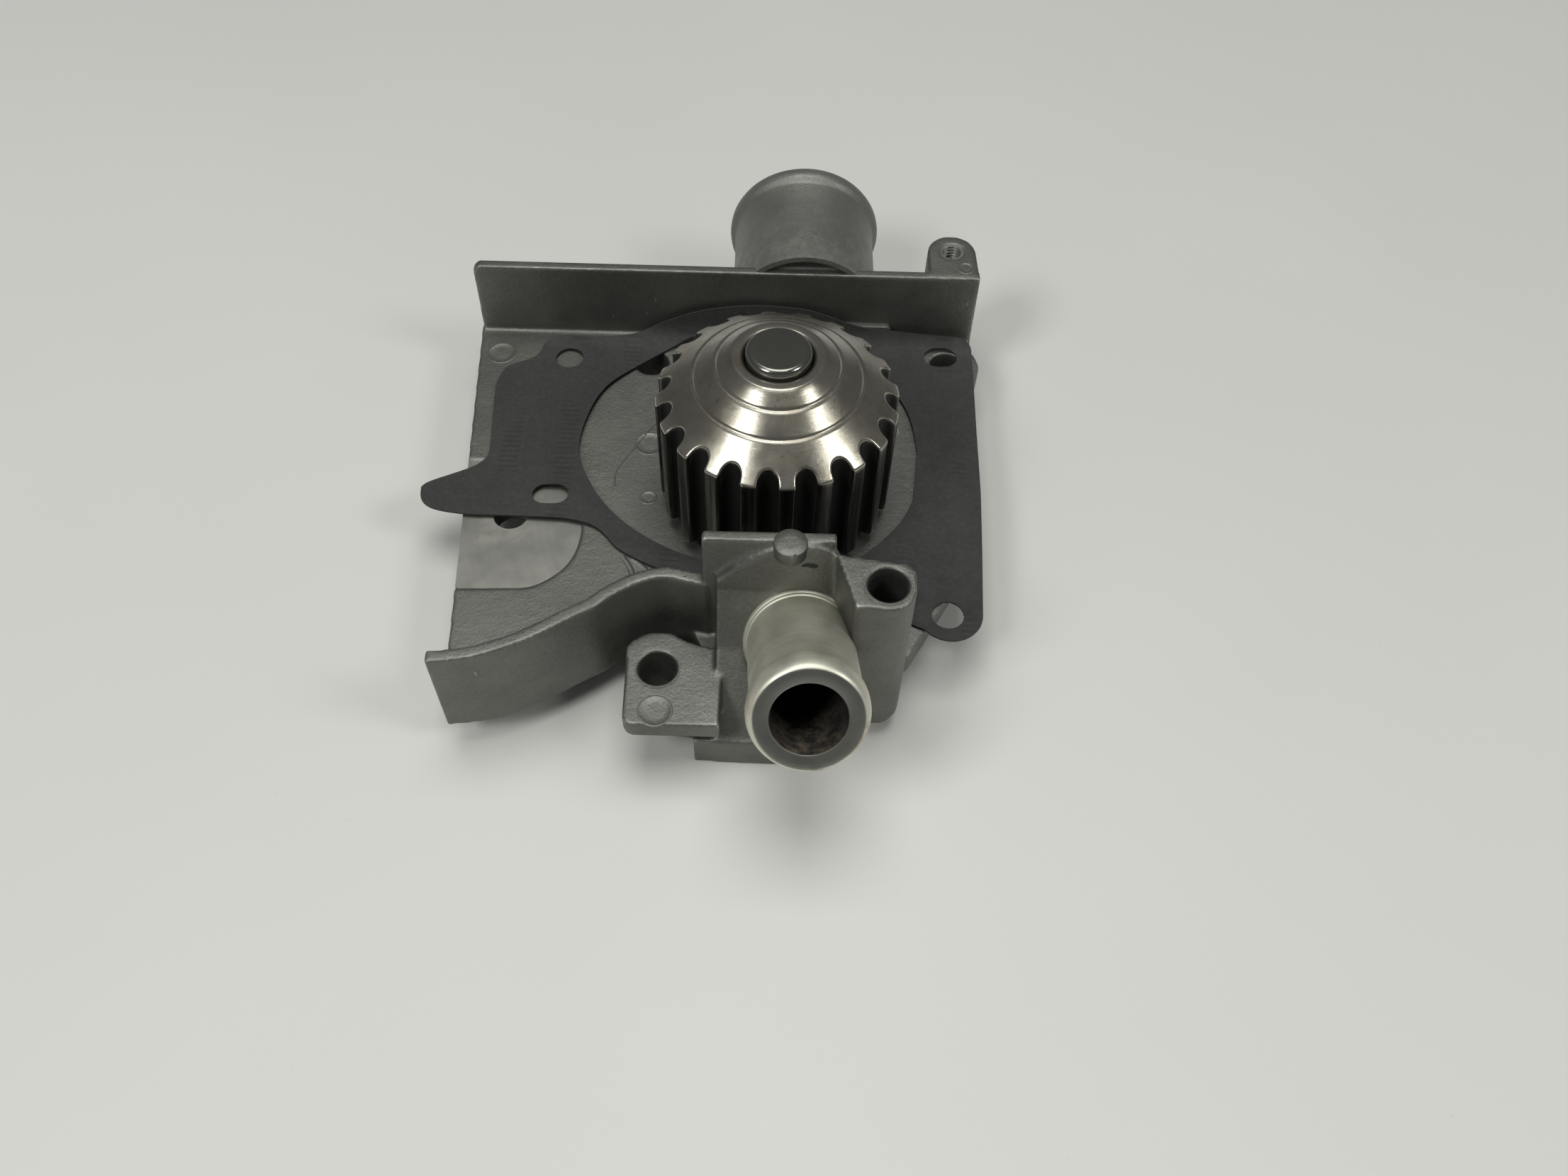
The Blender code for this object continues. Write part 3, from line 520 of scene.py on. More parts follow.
def cast_body():
    guard = smooth(GUARD_FRONT, 6)
    low = BENCH + 0.2
    arch = smooth([(HOOD_LEFT, -11.5), (-7.4, -5.5), (-1.0, -0.9), (4.0, 0.7), (8.6, 0.5), (12.0, -0.9),
                   (14.1, -3.8), (16.5, -9.9), (18.5, -16.8), (21.4, -28.0)], 4)
    hood = [(x, HOOD_FRONT + 0.06 * z, z) for x, z in arch]
    hood += [(x, -43.0, z) for x, z in arch]
    hood += [(x, y, low) for x in (HOOD_LEFT, 21.4) for y in (HOOD_FRONT - 0.9, -43.0)]
    slope = [(x, y, -15.0) for x in (HOOD_LEFT, 18.6) for y in (HOOD_FRONT - 0.7, -43.0)]
    slope += [(HOOD_LEFT, -71.1, low), (8.6, -71.4, low), (HOOD_LEFT, -43.0, low)]
    slope += [(21.4, -43.0, low), (21.4, -50.0, low)]
    ramp = [(x, y, -26.0) for x in (HOOD_LEFT, 20.6) for y in (-53.9, -43.2)]
    ramp += [(x, y, z) for x, y in ((-13.0, -72.0), (9.0, -72.5)) for z in (-43.2, low)]
    ramp += [(20.6, -58.0, low), (20.6, -43.2, low), (HOOD_LEFT, -43.2, low)]
    pad = [*pad_outline(), (-90.0, 8.8), (-90.0, -33.9)]
    wall = [(-85.2, PLATE_BOTTOM + 0.4), (56.6, PLATE_BOTTOM + 0.4), (56.0, WALL_TOP)]
    wall += [(-83.4, WALL_TOP), (-84.8, WALL_TOP - 1.6)]
    joins = [
        prism("flange", flange_outline(), BENCH, PLATE_BOTTOM + 1.0),
        prism("wall", wall, -WALL_BACK, -WALL_FRONT, place=UPRIGHT),
        prism("guard", guard + offset_path(guard, 3.2)[::-1], PLATE_BOTTOM - 0.2, GUARD_TOP),
        box("belt_plate", (-16.4, -45.2, PLATE_BOTTOM + 0.7), (13.7, -42.4, BELT_PLATE_TOP)),
        hull("hood", hood),
        hull("slope", slope),
        hull("ramp", ramp),
        cylinder("collar", 15.0, -41.5, -39.1, place=FRONT_AXIS),
        prism("boss", boss_outline(-57.2), BOSS_BOTTOM, BOSS_TOP, boss_outline(-54.9)),
        prism("lug", lug_outline(), LUG_BOTTOM, LUG_TOP),
        cylinder("lug_column", 6.6, BENCH + 0.3, LUG_TOP - 1.0, *HOLE_LUG),
        prism("ear", ear_outline(), EAR_BOTTOM, WALL_TOP + 0.2),
        box("neck_root", (-10.0, 61.0, BENCH + 0.2), (25.0, 74.0, -30.0)),
        cylinder("rear_tube", 19.6, -36.4, -24.0, place=REAR_AXIS),
    ]
    cuts = [
        cylinder("pocket", POCKET_RADIUS, BENCH - 1.0, -40.2, *POCKET, 96),
        cylinder("core", 15.3, -46.0, 2.0, count=96),
        box("rear_duct", (-8.0, 38.0, BENCH + 2.2), (23.0, 71.0, -40.6)),
        box("front_duct", (-0.6, -60.0, BENCH + 2.2), (13.8, -38.0, -40.6)),
        cylinder("drop", 6.8, -45.0, -27.0, 6.2, -51.2),
        cylinder("neck_seat", 13.6, -39.0, -36.6, place=FRONT_AXIS),
        cylinder("rear_bore", 17.6, -33.0, 4.0, place=REAR_AXIS),
        cylinder("front_bore", 8.5, -44.0, 4.0, place=FRONT_AXIS),
        cylinder("hole_1", 4.7, BENCH - 2.0, 4.0, *HOLE_REAR_LEFT),
        cylinder("hole_2", 4.7, BENCH - 2.0, 4.0, *HOLE_REAR_RIGHT),
        cylinder("hole_3", 4.7, BENCH - 2.0, 4.0, *HOLE_BOSS),
        cylinder("hole_4", 4.7, BENCH - 2.0, 4.0, *HOLE_LUG),
        cylinder("hole_pad", 4.5, PLATE_BOTTOM - 2.0, 4.0, *HOLE_PAD),
        cylinder("hole_ear", 3.1, -26.0, 4.0, *HOLE_EAR),
        prism("pad_recess", pad, PLATE_TOP - PAD_DEPTH, PLATE_TOP + 2.0),
    ]
    sleeve = turned("sleeve", [(18.6, -5.5), (19.4, -38.0), (19.8, -44.2), (15.3, -44.2), (15.3, -5.5)])
    body = prism("cast_body", plate_outline(), PLATE_BOTTOM, PLATE_TOP)
    pocketed = combine_sharp(body, joins, cuts[:1])
    return combine_rounded(pocketed, [sleeve], cuts[1:], VOXEL)


def front_neck():
    """Turned hose neck: rounded bead at the mouth, slim groove, long barrel and a chamfered root."""
    root = [(12.0, -42.0), (13.45, -40.4), (13.45, -38.3), (13.35, -38.1), (13.05, -37.75)]
    groove = [(12.98, -37.7), (12.96, -37.2), (12.9, -37.05), (12.56, -36.8)]
    barrel = [(12.45, -24.0), (12.35, -8.4)]
    bead = [(12.45, -7.5), (12.85, -6.6), (13.15, -5.4), (13.25, -4.2), (13.2, -3.0), (13.0, -2.0)]
    bead += [(12.6, -1.0), (12.1, -0.35), (11.55, -0.05), (11.2, 0.0)]
    bore = [(8.75, 0.0), (8.45, -0.12), (8.3, -0.5), (8.3, -20.0), (8.3, -42.0)]
    return turned("front_neck", root + groove + barrel + bead + bore, 128, FRONT_AXIS)


def rear_neck():
    """Plain hose neck with a rounded bead at the mouth."""
    barrel = [(20.5, -38.4), (20.45, -15.0), (20.6, -6.4), (20.9, -5.6)]
    bead = [(21.6, -4.9), (22.0, -4.0), (22.1, -3.0), (22.0, -1.8), (21.6, -0.8), (21.0, -0.2), (20.4, 0.0)]
    bore = [(18.4, 0.0), (18.0, -0.15), (17.8, -0.6), (17.8, -16.0), (17.8, -35.0), (19.0, -38.4)]
    return turned("rear_neck", barrel + bead + bore, 144, REAR_AXIS)


def ear_thread():
    """The tapped hole's thread, a true helix."""
    count = 64
    pitch = 1.0
    rows = 144
    rings = []
    for r in range(rows + 1):
        z = -13.0 - 12.0 * r / rows
        ring = []
        for i in range(count):
            turn = i / count
            phase = (z / pitch + turn) % 1.0
            depth = 0.6 * (1.0 - abs(2.0 * phase - 1.0))
            radius = 2.5 + depth
            ring.append((HOLE_EAR[0] + radius * math.cos(math.tau * turn),
                         HOLE_EAR[1] + radius * math.sin(math.tau * turn), z))
        rings.append(ring)
    outer = [circle(3.5, -13.0 - 12.0 * r, count, *HOLE_EAR) for r in (1, 0)]
    return loft("ear_thread", rings + outer, True)


def wall_ledge():
    """A short rounded rib at the foot of the rear wall."""
    outline = arc(31.0, -31.6, 1.7, -90, 90, 14) + arc(8.0, -31.6, 1.7, 90, 270, 14)
    rings = []
    for y, inset in ((-59.4, 0.0), (-57.4, 0.0), (-57.1, 0.12), (-57.0, 0.4)):
        rings.append([(x, z, y) for x, z in offset_path(outline, inset)])
    return loft("wall_ledge", rings, False, UPRIGHT)


def machined_pad():
    inner = resample(pad_outline() + [(-82.0, 8.6), (-79.0, -33.8)], 1.2)
    outline = [tuple(p) for p in inner if p[0] > -79.2 - (p[1] + 33.9) * 0.0721]
    pad = prism("machined_pad", outline, PLATE_TOP - 2.0, PLATE_TOP - 0.32)
    hole = cylinder("pad_hole", 4.4, PLATE_TOP - 4.0, PLATE_TOP + 4.0, *HOLE_PAD)
    return combine_sharp(pad, [], [hole])


def ridge(name, path, radius):
    """A thin raised line left by the die, half sunk in the surface."""
    curve = bpy.data.curves.new(name, "CURVE")
    curve.dimensions = "3D"
    curve.bevel_depth = radius * MM
    curve.bevel_resolution = 3
    curve.use_fill_caps = True
    points = smooth(path, 6)
    spline = curve.splines.new("POLY")
    spline.points.add(len(points) - 1)
    for point, p in zip(spline.points, points):
        point.co = (p[0] * MM, p[1] * MM, p[2] * MM, 1.0)
    obj = link(name, curve)
    bpy.context.view_layer.update()
    mesh = bpy.data.meshes.new_from_object(obj.evaluated_get(bpy.context.evaluated_depsgraph_get()))
    bpy.data.objects.remove(obj, do_unlink=True)
    return link(name, mesh)


def ejector_mark(name, x, y, z, radius):
    """A round mark left by an ejector pin: a flat disc with a fine raised rim."""
    profile = [(radius + 0.25, -0.5), (radius + 0.2, 0.03), (radius + 0.05, 0.12), (radius - 0.12, 0.12),
               (radius - 0.3, 0.02), (radius * 0.5, 0.02), (0.01, 0.02), (0.01, -0.5)]
    return turned(name, profile, 64, Matrix.Translation(Vector((x, y, z)) * MM))


def hole_rim(name, x, y, height):
    """The fine chamfered lip of a drilled bolt hole."""
    profile = [(4.55, -3.0), (4.55, -0.45), (4.62, -0.3), (4.95, 0.02)]
    profile += [(5.1, 0.07), (5.35, 0.06), (5.5, -0.1), (5.5, -3.0)]
    return turned(name, profile, 80, Matrix.Translation(Vector((x, y, height)) * MM))


def ejector_disc():
    """The round pad that stands in the belt plate's top edge, over the hood."""
    profile = [(0.01, -2.6), (3.6, -2.6), (3.8, -2.3), (3.85, 0.9)]
    profile += [(3.78, 1.3), (3.5, 1.5), (1.5, 1.5), (0.01, 1.5)]
    return turned("ejector_disc", profile, 72, Matrix.Translation(Vector((3.4, -45.6, 0.0)) * MM))


# ---------------------------------------------------------------- sprocket and shaft

TEETH = 20
TIP = 29.65
ROOT = 25.9
LAND_HALF_WIDTH = 1.95
GROOVE_RADIUS = 2.45
FIRST_TOOTH = -156.9
SLOPE = 0.73
CONE_TOP_RADIUS = 11.2
SPROCKET_BOTTOM = -32.4
TURNED_GROOVES = ((15.0, 0.22), (20.44, 0.22))
CONE_END = 24.9
ROUNDING = 0.5


def tooth_outline():
    """The belt teeth's outline, evenly sampled, with its corners eased."""
    pitch = 360.0 / TEETH
    land = math.degrees(math.asin(LAND_HALF_WIDTH / TIP))
    centre = ROOT + GROOVE_RADIUS
    outline = []
    for tooth in range(TEETH):
        middle = FIRST_TOOTH + pitch * tooth
        outline += arc(0.0, 0.0, TIP, middle - land, middle + land, 4)
        groove = math.radians(middle + pitch / 2)
        along = Vector((math.cos(groove), math.sin(groove)))
        across = Vector((-along.y, along.x))
        for turn in range(0, 181, 12):
            swing = math.radians(turn)
            point = along * (centre - GROOVE_RADIUS * math.sin(swing))
            point -= across * GROOVE_RADIUS * math.cos(swing)
            outline.append((point.x, point.y))
    return relax(resample(outline, 0.36), 3)


def ring(xy, z):
    return [(x, y, h) for (x, y), h in zip(xy, np.broadcast_to(z, (len(xy),)))]


def cone(xy):
    """The cone's height over each point."""
    return SLOPE * (TIP - np.linalg.norm(xy, axis=1))


def cone_rings(unit):
    """The flat nose round the bore and the cone with its two turned grooves."""
    top = SLOPE * (TIP - CONE_TOP_RADIUS)
    nose = ((8.24, 0.8), (8.6, 0.3), (9.0, 0.05), (9.4, 0.0), (10.9, 0.0), (11.1, 0.03), (11.35, 0.18))
    rings = [ring(unit * r, top - drop) for r, drop in nose]
    samples = set(np.round(np.arange(11.8, CONE_END, 0.6), 3))
    for centre, _ in TURNED_GROOVES:
        samples = {r for r in samples if abs(r - centre) > 0.5}
        samples |= {centre + step for step in (-0.42, -0.3, -0.15, 0.0, 0.15, 0.3, 0.42)}
    for r in sorted(samples):
        dips = [depth * max(0.0, 1.0 - (abs(r - centre) / 0.36) ** 2) for centre, depth in TURNED_GROOVES]
        rings.append(ring(unit * r, SLOPE * (TIP - r) - max(dips)))
    return rings


def mark_belt_side(obj):
    """Stores 0 on the turned cone, 0.5 on the tooth lands and up to 1 in the grooves, for the material."""
    marks = obj.data.attributes.new("belt", "FLOAT", "POINT")
    values = np.zeros(len(obj.data.vertices))
    for i, v in enumerate(obj.data.vertices):
        r = math.hypot(v.co.x, v.co.y) / MM
        under = SLOPE * (TIP - r) - v.co.z / MM
        side = min(max((under - 0.25) / 0.3, 0.0), 1.0) if r > 24.0 else 0.0
        deep = min(max((29.2 - r) / 1.0, 0.0), 1.0)
        values[i] = side * (0.5 + 0.5 * deep)
    marks.data.foreach_set("value", values.astype(np.float32))


def sprocket():
    outline = tooth_outline()
    tangent = np.roll(outline, -1, 0) - np.roll(outline, 1, 0)
    tangent /= np.linalg.norm(tangent, axis=1)[:, None]
    outward = np.stack([tangent[:, 1], -tangent[:, 0]], 1)
    unit = outline / np.linalg.norm(outline, axis=1)[:, None]

    rings = cone_rings(unit)
    inner = outline - outward * ROUNDING
    for t in (0.2, 0.4, 0.6, 0.8, 1.0):
        xy = unit * CONE_END * (1 - t) + inner * t
        rings.append(ring(xy, cone(xy)))
    for a in (20, 40, 60, 90):
        inset = ROUNDING * (1 - math.sin(math.radians(a)))
        drop = ROUNDING * (1 - math.cos(math.radians(a)))
        xy = outline - outward * inset
        rings.append(ring(xy, cone(xy) - drop))
    side_top = cone(outline) - ROUNDING
    low = SPROCKET_BOTTOM
    for t in (0.04, 0.12, 0.3, 0.5, 0.7, 0.9, 0.98):
        rings.append(ring(outline, side_top * (1 - t) + (low + 0.4) * t))
    rings.append(ring(outline - outward * 0.1, low + 0.1))
    rings.append(ring(outline - outward * 0.5, low))
    inside_profile = [(24.0, low), (22.2, low), (22.0, low + 0.3), (22.0, -1.0), (21.6, -0.3), (13.6, 4.6)]
    inside_profile += [(13.4, 4.4), (13.4, -1.4), (13.2, -1.6), (8.4, -1.6), (8.24, -1.4)]
    rings += [ring(unit * r, z) for r, z in inside_profile]
    obj = loft("belt_sprocket", rings, True)
    mark_belt_side(obj)
    return obj


def shaft():
    profile = [(0.01, SHAFT_TOP), (3.0, SHAFT_TOP), (6.5, SHAFT_TOP), (6.85, SHAFT_TOP - 0.03)]
    profile += [(7.15, SHAFT_TOP - 0.15), (7.5, SHAFT_TOP - 0.4), (7.75, SHAFT_TOP - 0.75)]
    profile += [(7.9, SHAFT_TOP - 1.15), (SHAFT_RADIUS, SHAFT_TOP - 1.6)]
    for step in range(13):
        depth = 0.55 * max(math.sin(math.radians(15 * step)), 0.0)
        profile.append((SHAFT_RADIUS - depth, RACE_Z + 1.8 * math.cos(math.radians(15 * step))))
    profile += [(SHAFT_RADIUS, -30.0), (SHAFT_RADIUS, SHAFT_BOTTOM + 1.0)]
    profile += [(7.0, SHAFT_BOTTOM), (0.01, SHAFT_BOTTOM)]
    return turned("shaft", profile, 96)


def sprocket_material():
    """Sintered steel: turned cone with brown stains and tooth edges lightened by wear, dark belt sides, and
    grooves painted near black as painted shade.
    """
    s = Shader("sprocket_steel")
    radius = s.radius()
    line = s.nodes.new("ShaderNodeCombineXYZ")
    s.links.new(s.math("MULTIPLY", radius, 2600.0), line.inputs[0])
    rings = s.noise(1.0, 4.0, 0.75, line.outputs[0])
    blotch = s.ramp(s.noise(95.0, 6.0, 0.62), 0.42, 0.66)
    color = s.mix(s.ramp(rings, 0.35, 0.65, 0.0, 0.4), (0.40, 0.385, 0.335), (0.29, 0.275, 0.235))
    color = s.mix(s.math("MULTIPLY", blotch, 0.55), color, (0.20, 0.175, 0.13))
    freckled = s.ramp(s.noise(120.0), 0.45, 0.6)
    freckle = s.math("MULTIPLY", s.ramp(s.noise(700.0, 3.0), 0.60, 0.68), freckled, clamp=True)
    color = s.mix(s.math("MULTIPLY", freckle, 0.5), color, (0.15, 0.12, 0.085))
    outer = s.ramp(radius, 0.0275, 0.0292)
    lighter_edge = s.math("MULTIPLY", outer, s.ramp(s.noise(300.0, 4.0), 0.35, 0.6), clamp=True)
    color = s.mix(s.math("MULTIPLY", lighter_edge, 0.45), color, (0.66, 0.64, 0.58))
    belt = s.nodes.new("ShaderNodeAttribute")
    belt.attribute_name = "belt"
    side = s.ramp(belt.outputs["Fac"], 0.05, 0.45)
    deep = s.ramp(belt.outputs["Fac"], 0.55, 0.95)
    streak = s.noise(1.0, 4.0, 0.6, s.stretch((700.0, 700.0, 25.0)))
    land = s.mix(s.ramp(streak, 0.4, 0.65), (0.045, 0.043, 0.04), (0.14, 0.135, 0.125))
    color = s.mix(side, color, land)
    # Painted shade: the grooves between the teeth are painted near black, darkest at their bottoms, where the
    # recesses lie in shade.
    color = s.mix(deep, color, (0.008, 0.008, 0.008))
    s.bump(rings, 0.13, 0.0002)
    s.bump(s.noise(320.0, 3.0), 0.05, 0.0003)
    rough = s.ramp(s.noise(140.0, 4.0), 0.3, 0.7, 0.17, 0.27)
    rough = s.math("ADD", rough, s.math("MULTIPLY", blotch, 0.06))
    rough = s.math("ADD", rough, s.math("MULTIPLY", deep, 0.35))
    return s.done(color, rough, s.ramp(deep, 0.0, 1.0, 0.95, 0.3))


# ---------------------------------------------------------------- gasket

SHEET = 0.5
BEND_START = 51.2
BEND_RADIUS = 6.0
BEND_MOST = math.radians(84)


def gasket_outline():
    """The flat sheet's outer edge: left tail, front edge, right ear, back edge and left shoulder."""
    front = [(-92.6, -2.0), (-91.8, -6.4), (-88.0, -9.2), (-80.0, -10.6), (-71.8, -10.9), (-60.0, -11.2)]
    front += [(-53.5, -11.6), (-47.5, -13.2), (-43.9, -15.7), (-40.0, -20.4), (-34.2, -24.2)]
    front += [(-28.6, -26.8), (-19.0, -30.0), (0.0, -33.0), (18.0, -33.0), (28.0, -36.5), (34.2, -41.9)]
    front += [(37.6, -43.4)]
    back = [(42.0, 58.4), (33.0, 59.2), (26.0, 60.0), (20.0, 61.6), (13.0, 64.4), (6.0, 66.2)]
    back += [(-8.0, 66.8), (-22.0, 64.6), (-33.0, 60.2), (-40.5, 56.6), (-48.0, 55.4), (-56.0, 55.4)]
    left = [(-68.2, 47.4), (-71.0, 45.6), (-74.6, 43.9), (-76.6, 42.0), (-77.8, 38.6), (-78.3, 34.6)]
    left += [(-77.4, 22.0), (-76.7, 11.3), (-77.2, 8.6), (-79.4, 6.0), (-82.4, 4.2), (-89.0, 0.9)]
    left += [(-91.6, -0.6)]
    outer = smooth(front, 4) + arc(43.9, -38.4, 8.2, 222, 350, 20)
    outer += [(53.4, -20.0), (54.6, 0.0), (55.2, 20.0), (56.0, 44.0)]
    outer += arc(51.8, 53.4, 4.4, 0, 90, 8)
    outer += smooth(back, 4) + arc(-61.7, 49.9, 5.5, 90, 180, 8)
    return outer + smooth(left, 3)


def slot_outline(left, right, y, radius):
    return arc(left, y, radius, 90, 270, 16) + arc(right, y, radius, -90, 90, 16)


def gasket_loops():
    """The outer edge, then the large opening, two round holes and two slots."""
    opening = [(38.4, 14.0), (36.4, 29.0), (30.0, 42.0), (20.0, 52.6), (7.0, 59.0), (-8.0, 60.8)]
    opening += [(-23.5, 56.6), (-38.6, 44.8), (-48.6, 33.6), (-52.8, 16.2), (-50.6, 4.6), (-43.0, -8.0)]
    opening += [(-31.1, -18.0), (-17.0, -24.2), (2.0, -27.4), (19.0, -23.6), (31.3, -12.4), (37.2, 0.0)]
    overlap = 2
    steps = 6
    closed = smooth(opening[-overlap:] + opening + opening[:overlap], steps)
    ring_loop = closed[overlap * steps:-overlap * steps - 1]
    holes = [arc(-58.9, 46.6, 3.9, 0, 350, 35), arc(43.3, -39.1, 4.0, 0, 350, 35)]
    slots = [slot_outline(-60.2, -57.0, -3.7, 3.2), slot_outline(45.8, 48.2, 50.6, 3.6)]
    return [gasket_outline(), ring_loop, *holes, *slots]


def inside(points, loop):
    """Which points lie inside a closed outline."""
    x, y = points[:, 0], points[:, 1]
    hit = np.zeros(len(points), bool)
    for (x0, y0), (x1, y1) in zip(loop, np.roll(loop, -1, 0)):
        if y0 == y1:
            continue
        crosses = ((y0 > y) != (y1 > y)) & (x < (x1 - x0) * (y - y0) / (y1 - y0) + x0)
        hit ^= crosses
    return hit


def gasket_sheet():
    """The flat sheet's points and triangles, with even triangles between its edges."""
    loops = [resample(loop, 1.3) for loop in gasket_loops()]
    verts, edges = [], []
    for loop in loops:
        first = len(verts)
        verts += [tuple(p) for p in loop]
        edges += [(first + i, first + (i + 1) % len(loop)) for i in range(len(loop))]

    def on_sheet(points):
        keep = inside(points, loops[0])
        for hole in loops[1:]:
            keep &= ~inside(points, hole)
        return keep

    gx, gy = np.meshgrid(np.arange(-92.0, 58.0, 2.1), np.arange(-48.0, 68.0, 2.1))
    grid = np.stack([gx.ravel(), gy.ravel()], 1)
    edge_points = np.array(verts)
    grid = grid[on_sheet(grid)]
    near = np.array([np.min(np.sum((edge_points - p) ** 2, axis=1)) for p in grid])
    verts += [tuple(p) for p in grid[near > 1.0]]
    out = delaunay_2d_cdt([Vector(v) for v in verts], edges, [], 0, 1e-5)
    flat = np.array([tuple(v) for v in out[0]])
    tris = np.array(out[2])
    return flat, tris[on_sheet(flat[tris].mean(1))]


def bent(x, y, lift):
    """Where a point of the flat sheet lies: waved over the tray and bent up against the rear wall."""
    wave = 0.9 * math.exp(-((x + 50.0) ** 2 / 260.0 + (y - 14.0) ** 2 / 700.0))
    wave += 0.5 * math.exp(-((x - 44.0) ** 2 / 200.0 + (y - 5.0) ** 2 / 900.0))
    wave += 0.12 * (math.sin(x * 0.11 + 1.0) * math.cos(y * 0.13) + 1.0)
    z = PLATE_TOP + 0.3
    over = y - BEND_START
    if over <= 0.0:
        return (x, y, z + wave + lift)
    turn = min(over / BEND_RADIUS, BEND_MOST)
    rest = over - turn * BEND_RADIUS
    back = BEND_START + BEND_RADIUS * math.sin(turn) + rest * math.cos(turn)
    up = z + BEND_RADIUS * (1 - math.cos(turn)) + rest * math.sin(turn)
    return (x, back - (lift + wave * 0.3) * math.sin(turn), up + (lift + wave) * math.cos(turn))


def gasket():
    flat, tris = gasket_sheet()
    sides = [side for a, b, c in tris for side in ((a, b), (b, c), (c, a))]
    known = set(sides)
    border = [(a, b) for a, b in sides if (b, a) not in known]
    verts = [bent(x, y, lift) for lift in (0.0, SHEET) for x, y in flat]
    n = len(flat)
    faces = [tuple(int(i) for i in t[::-1]) for t in tris]
    faces += [tuple(int(i) + n for i in t) for t in tris]
    faces += [(int(a), int(b), int(b) + n, int(a) + n) for a, b in border]
    return flat_normals_out(from_faces("paper_gasket", verts, faces))


def gasket_material():
    """Dark coated paper with a fine fibre grain, faint scuffs and rows of generic printed bars."""
    s = Shader("gasket_sheet")
    fibre = s.noise(900.0, 4.0, 0.65)
    cloud = s.ramp(s.noise(45.0, 4.0), 0.3, 0.7)
    color = s.mix(cloud, (0.021, 0.0225, 0.0215), (0.029, 0.031, 0.0295))
    color = s.mix(s.ramp(fibre, 0.45, 0.75, 0.0, 0.35), color, (0.062, 0.065, 0.062))
    x, y, _ = s.axes()
    across = s.math("ADD", s.math("MULTIPLY", x, 0.05), y)
    bars = s.ramp(s.math("SINE", s.math("MULTIPLY", across, 3600.0)), 0.1, 0.5)
    column = s.ramp(s.math("SINE", s.math("MULTIPLY", x, 420.0)), 0.45, 0.52)
    row = s.ramp(s.noise(38.0, 1.0, 0.3), 0.52, 0.54)
    marks = s.math("MULTIPLY", s.math("MULTIPLY", bars, column), row, clamp=True)
    color = s.mix(s.math("MULTIPLY", marks, 0.5), color, (0.012, 0.012, 0.013))
    s.bump(fibre, 0.25, 0.0002)
    s.bump(s.noise(160.0, 3.0), 0.12, 0.0004)
    rough = s.ramp(s.noise(200.0, 3.0), 0.3, 0.7, 0.62, 0.78)
    return s.done(color, rough, 0.0)


# ---------------------------------------------------------------- assembly of the visual model

CAST = cast_metal("cast_aluminium", (0.130, 0.131, 0.121), (0.185, 0.187, 0.172), (0.50, 0.50, 0.47),
                  painted_dent_shade=(((3.0, -4.3), (2.4, 0.9)), ((8.2, -5.3), (2.1, 1.0))))
CAST_MARK = cast_metal("cast_mark", (0.140, 0.141, 0.130), (0.190, 0.192, 0.177), (0.30, 0.30, 0.28), 0.0)
TUBE = cast_metal("cast_tube", (0.150, 0.151, 0.140), (0.195, 0.197, 0.182), (0.40, 0.40, 0.37), 0.25,
                  metallic=0.6)
MILLED = machined_metal("milled_pad", (0.40, 0.40, 0.37), (0.30, 0.27, 0.22), 900.0, 0.30, 0.40)
GROUND = machined_metal("ground_steel_nose", (0.20, 0.20, 0.185), (0.08, 0.07, 0.055), 2200.0, 0.14, 0.22)


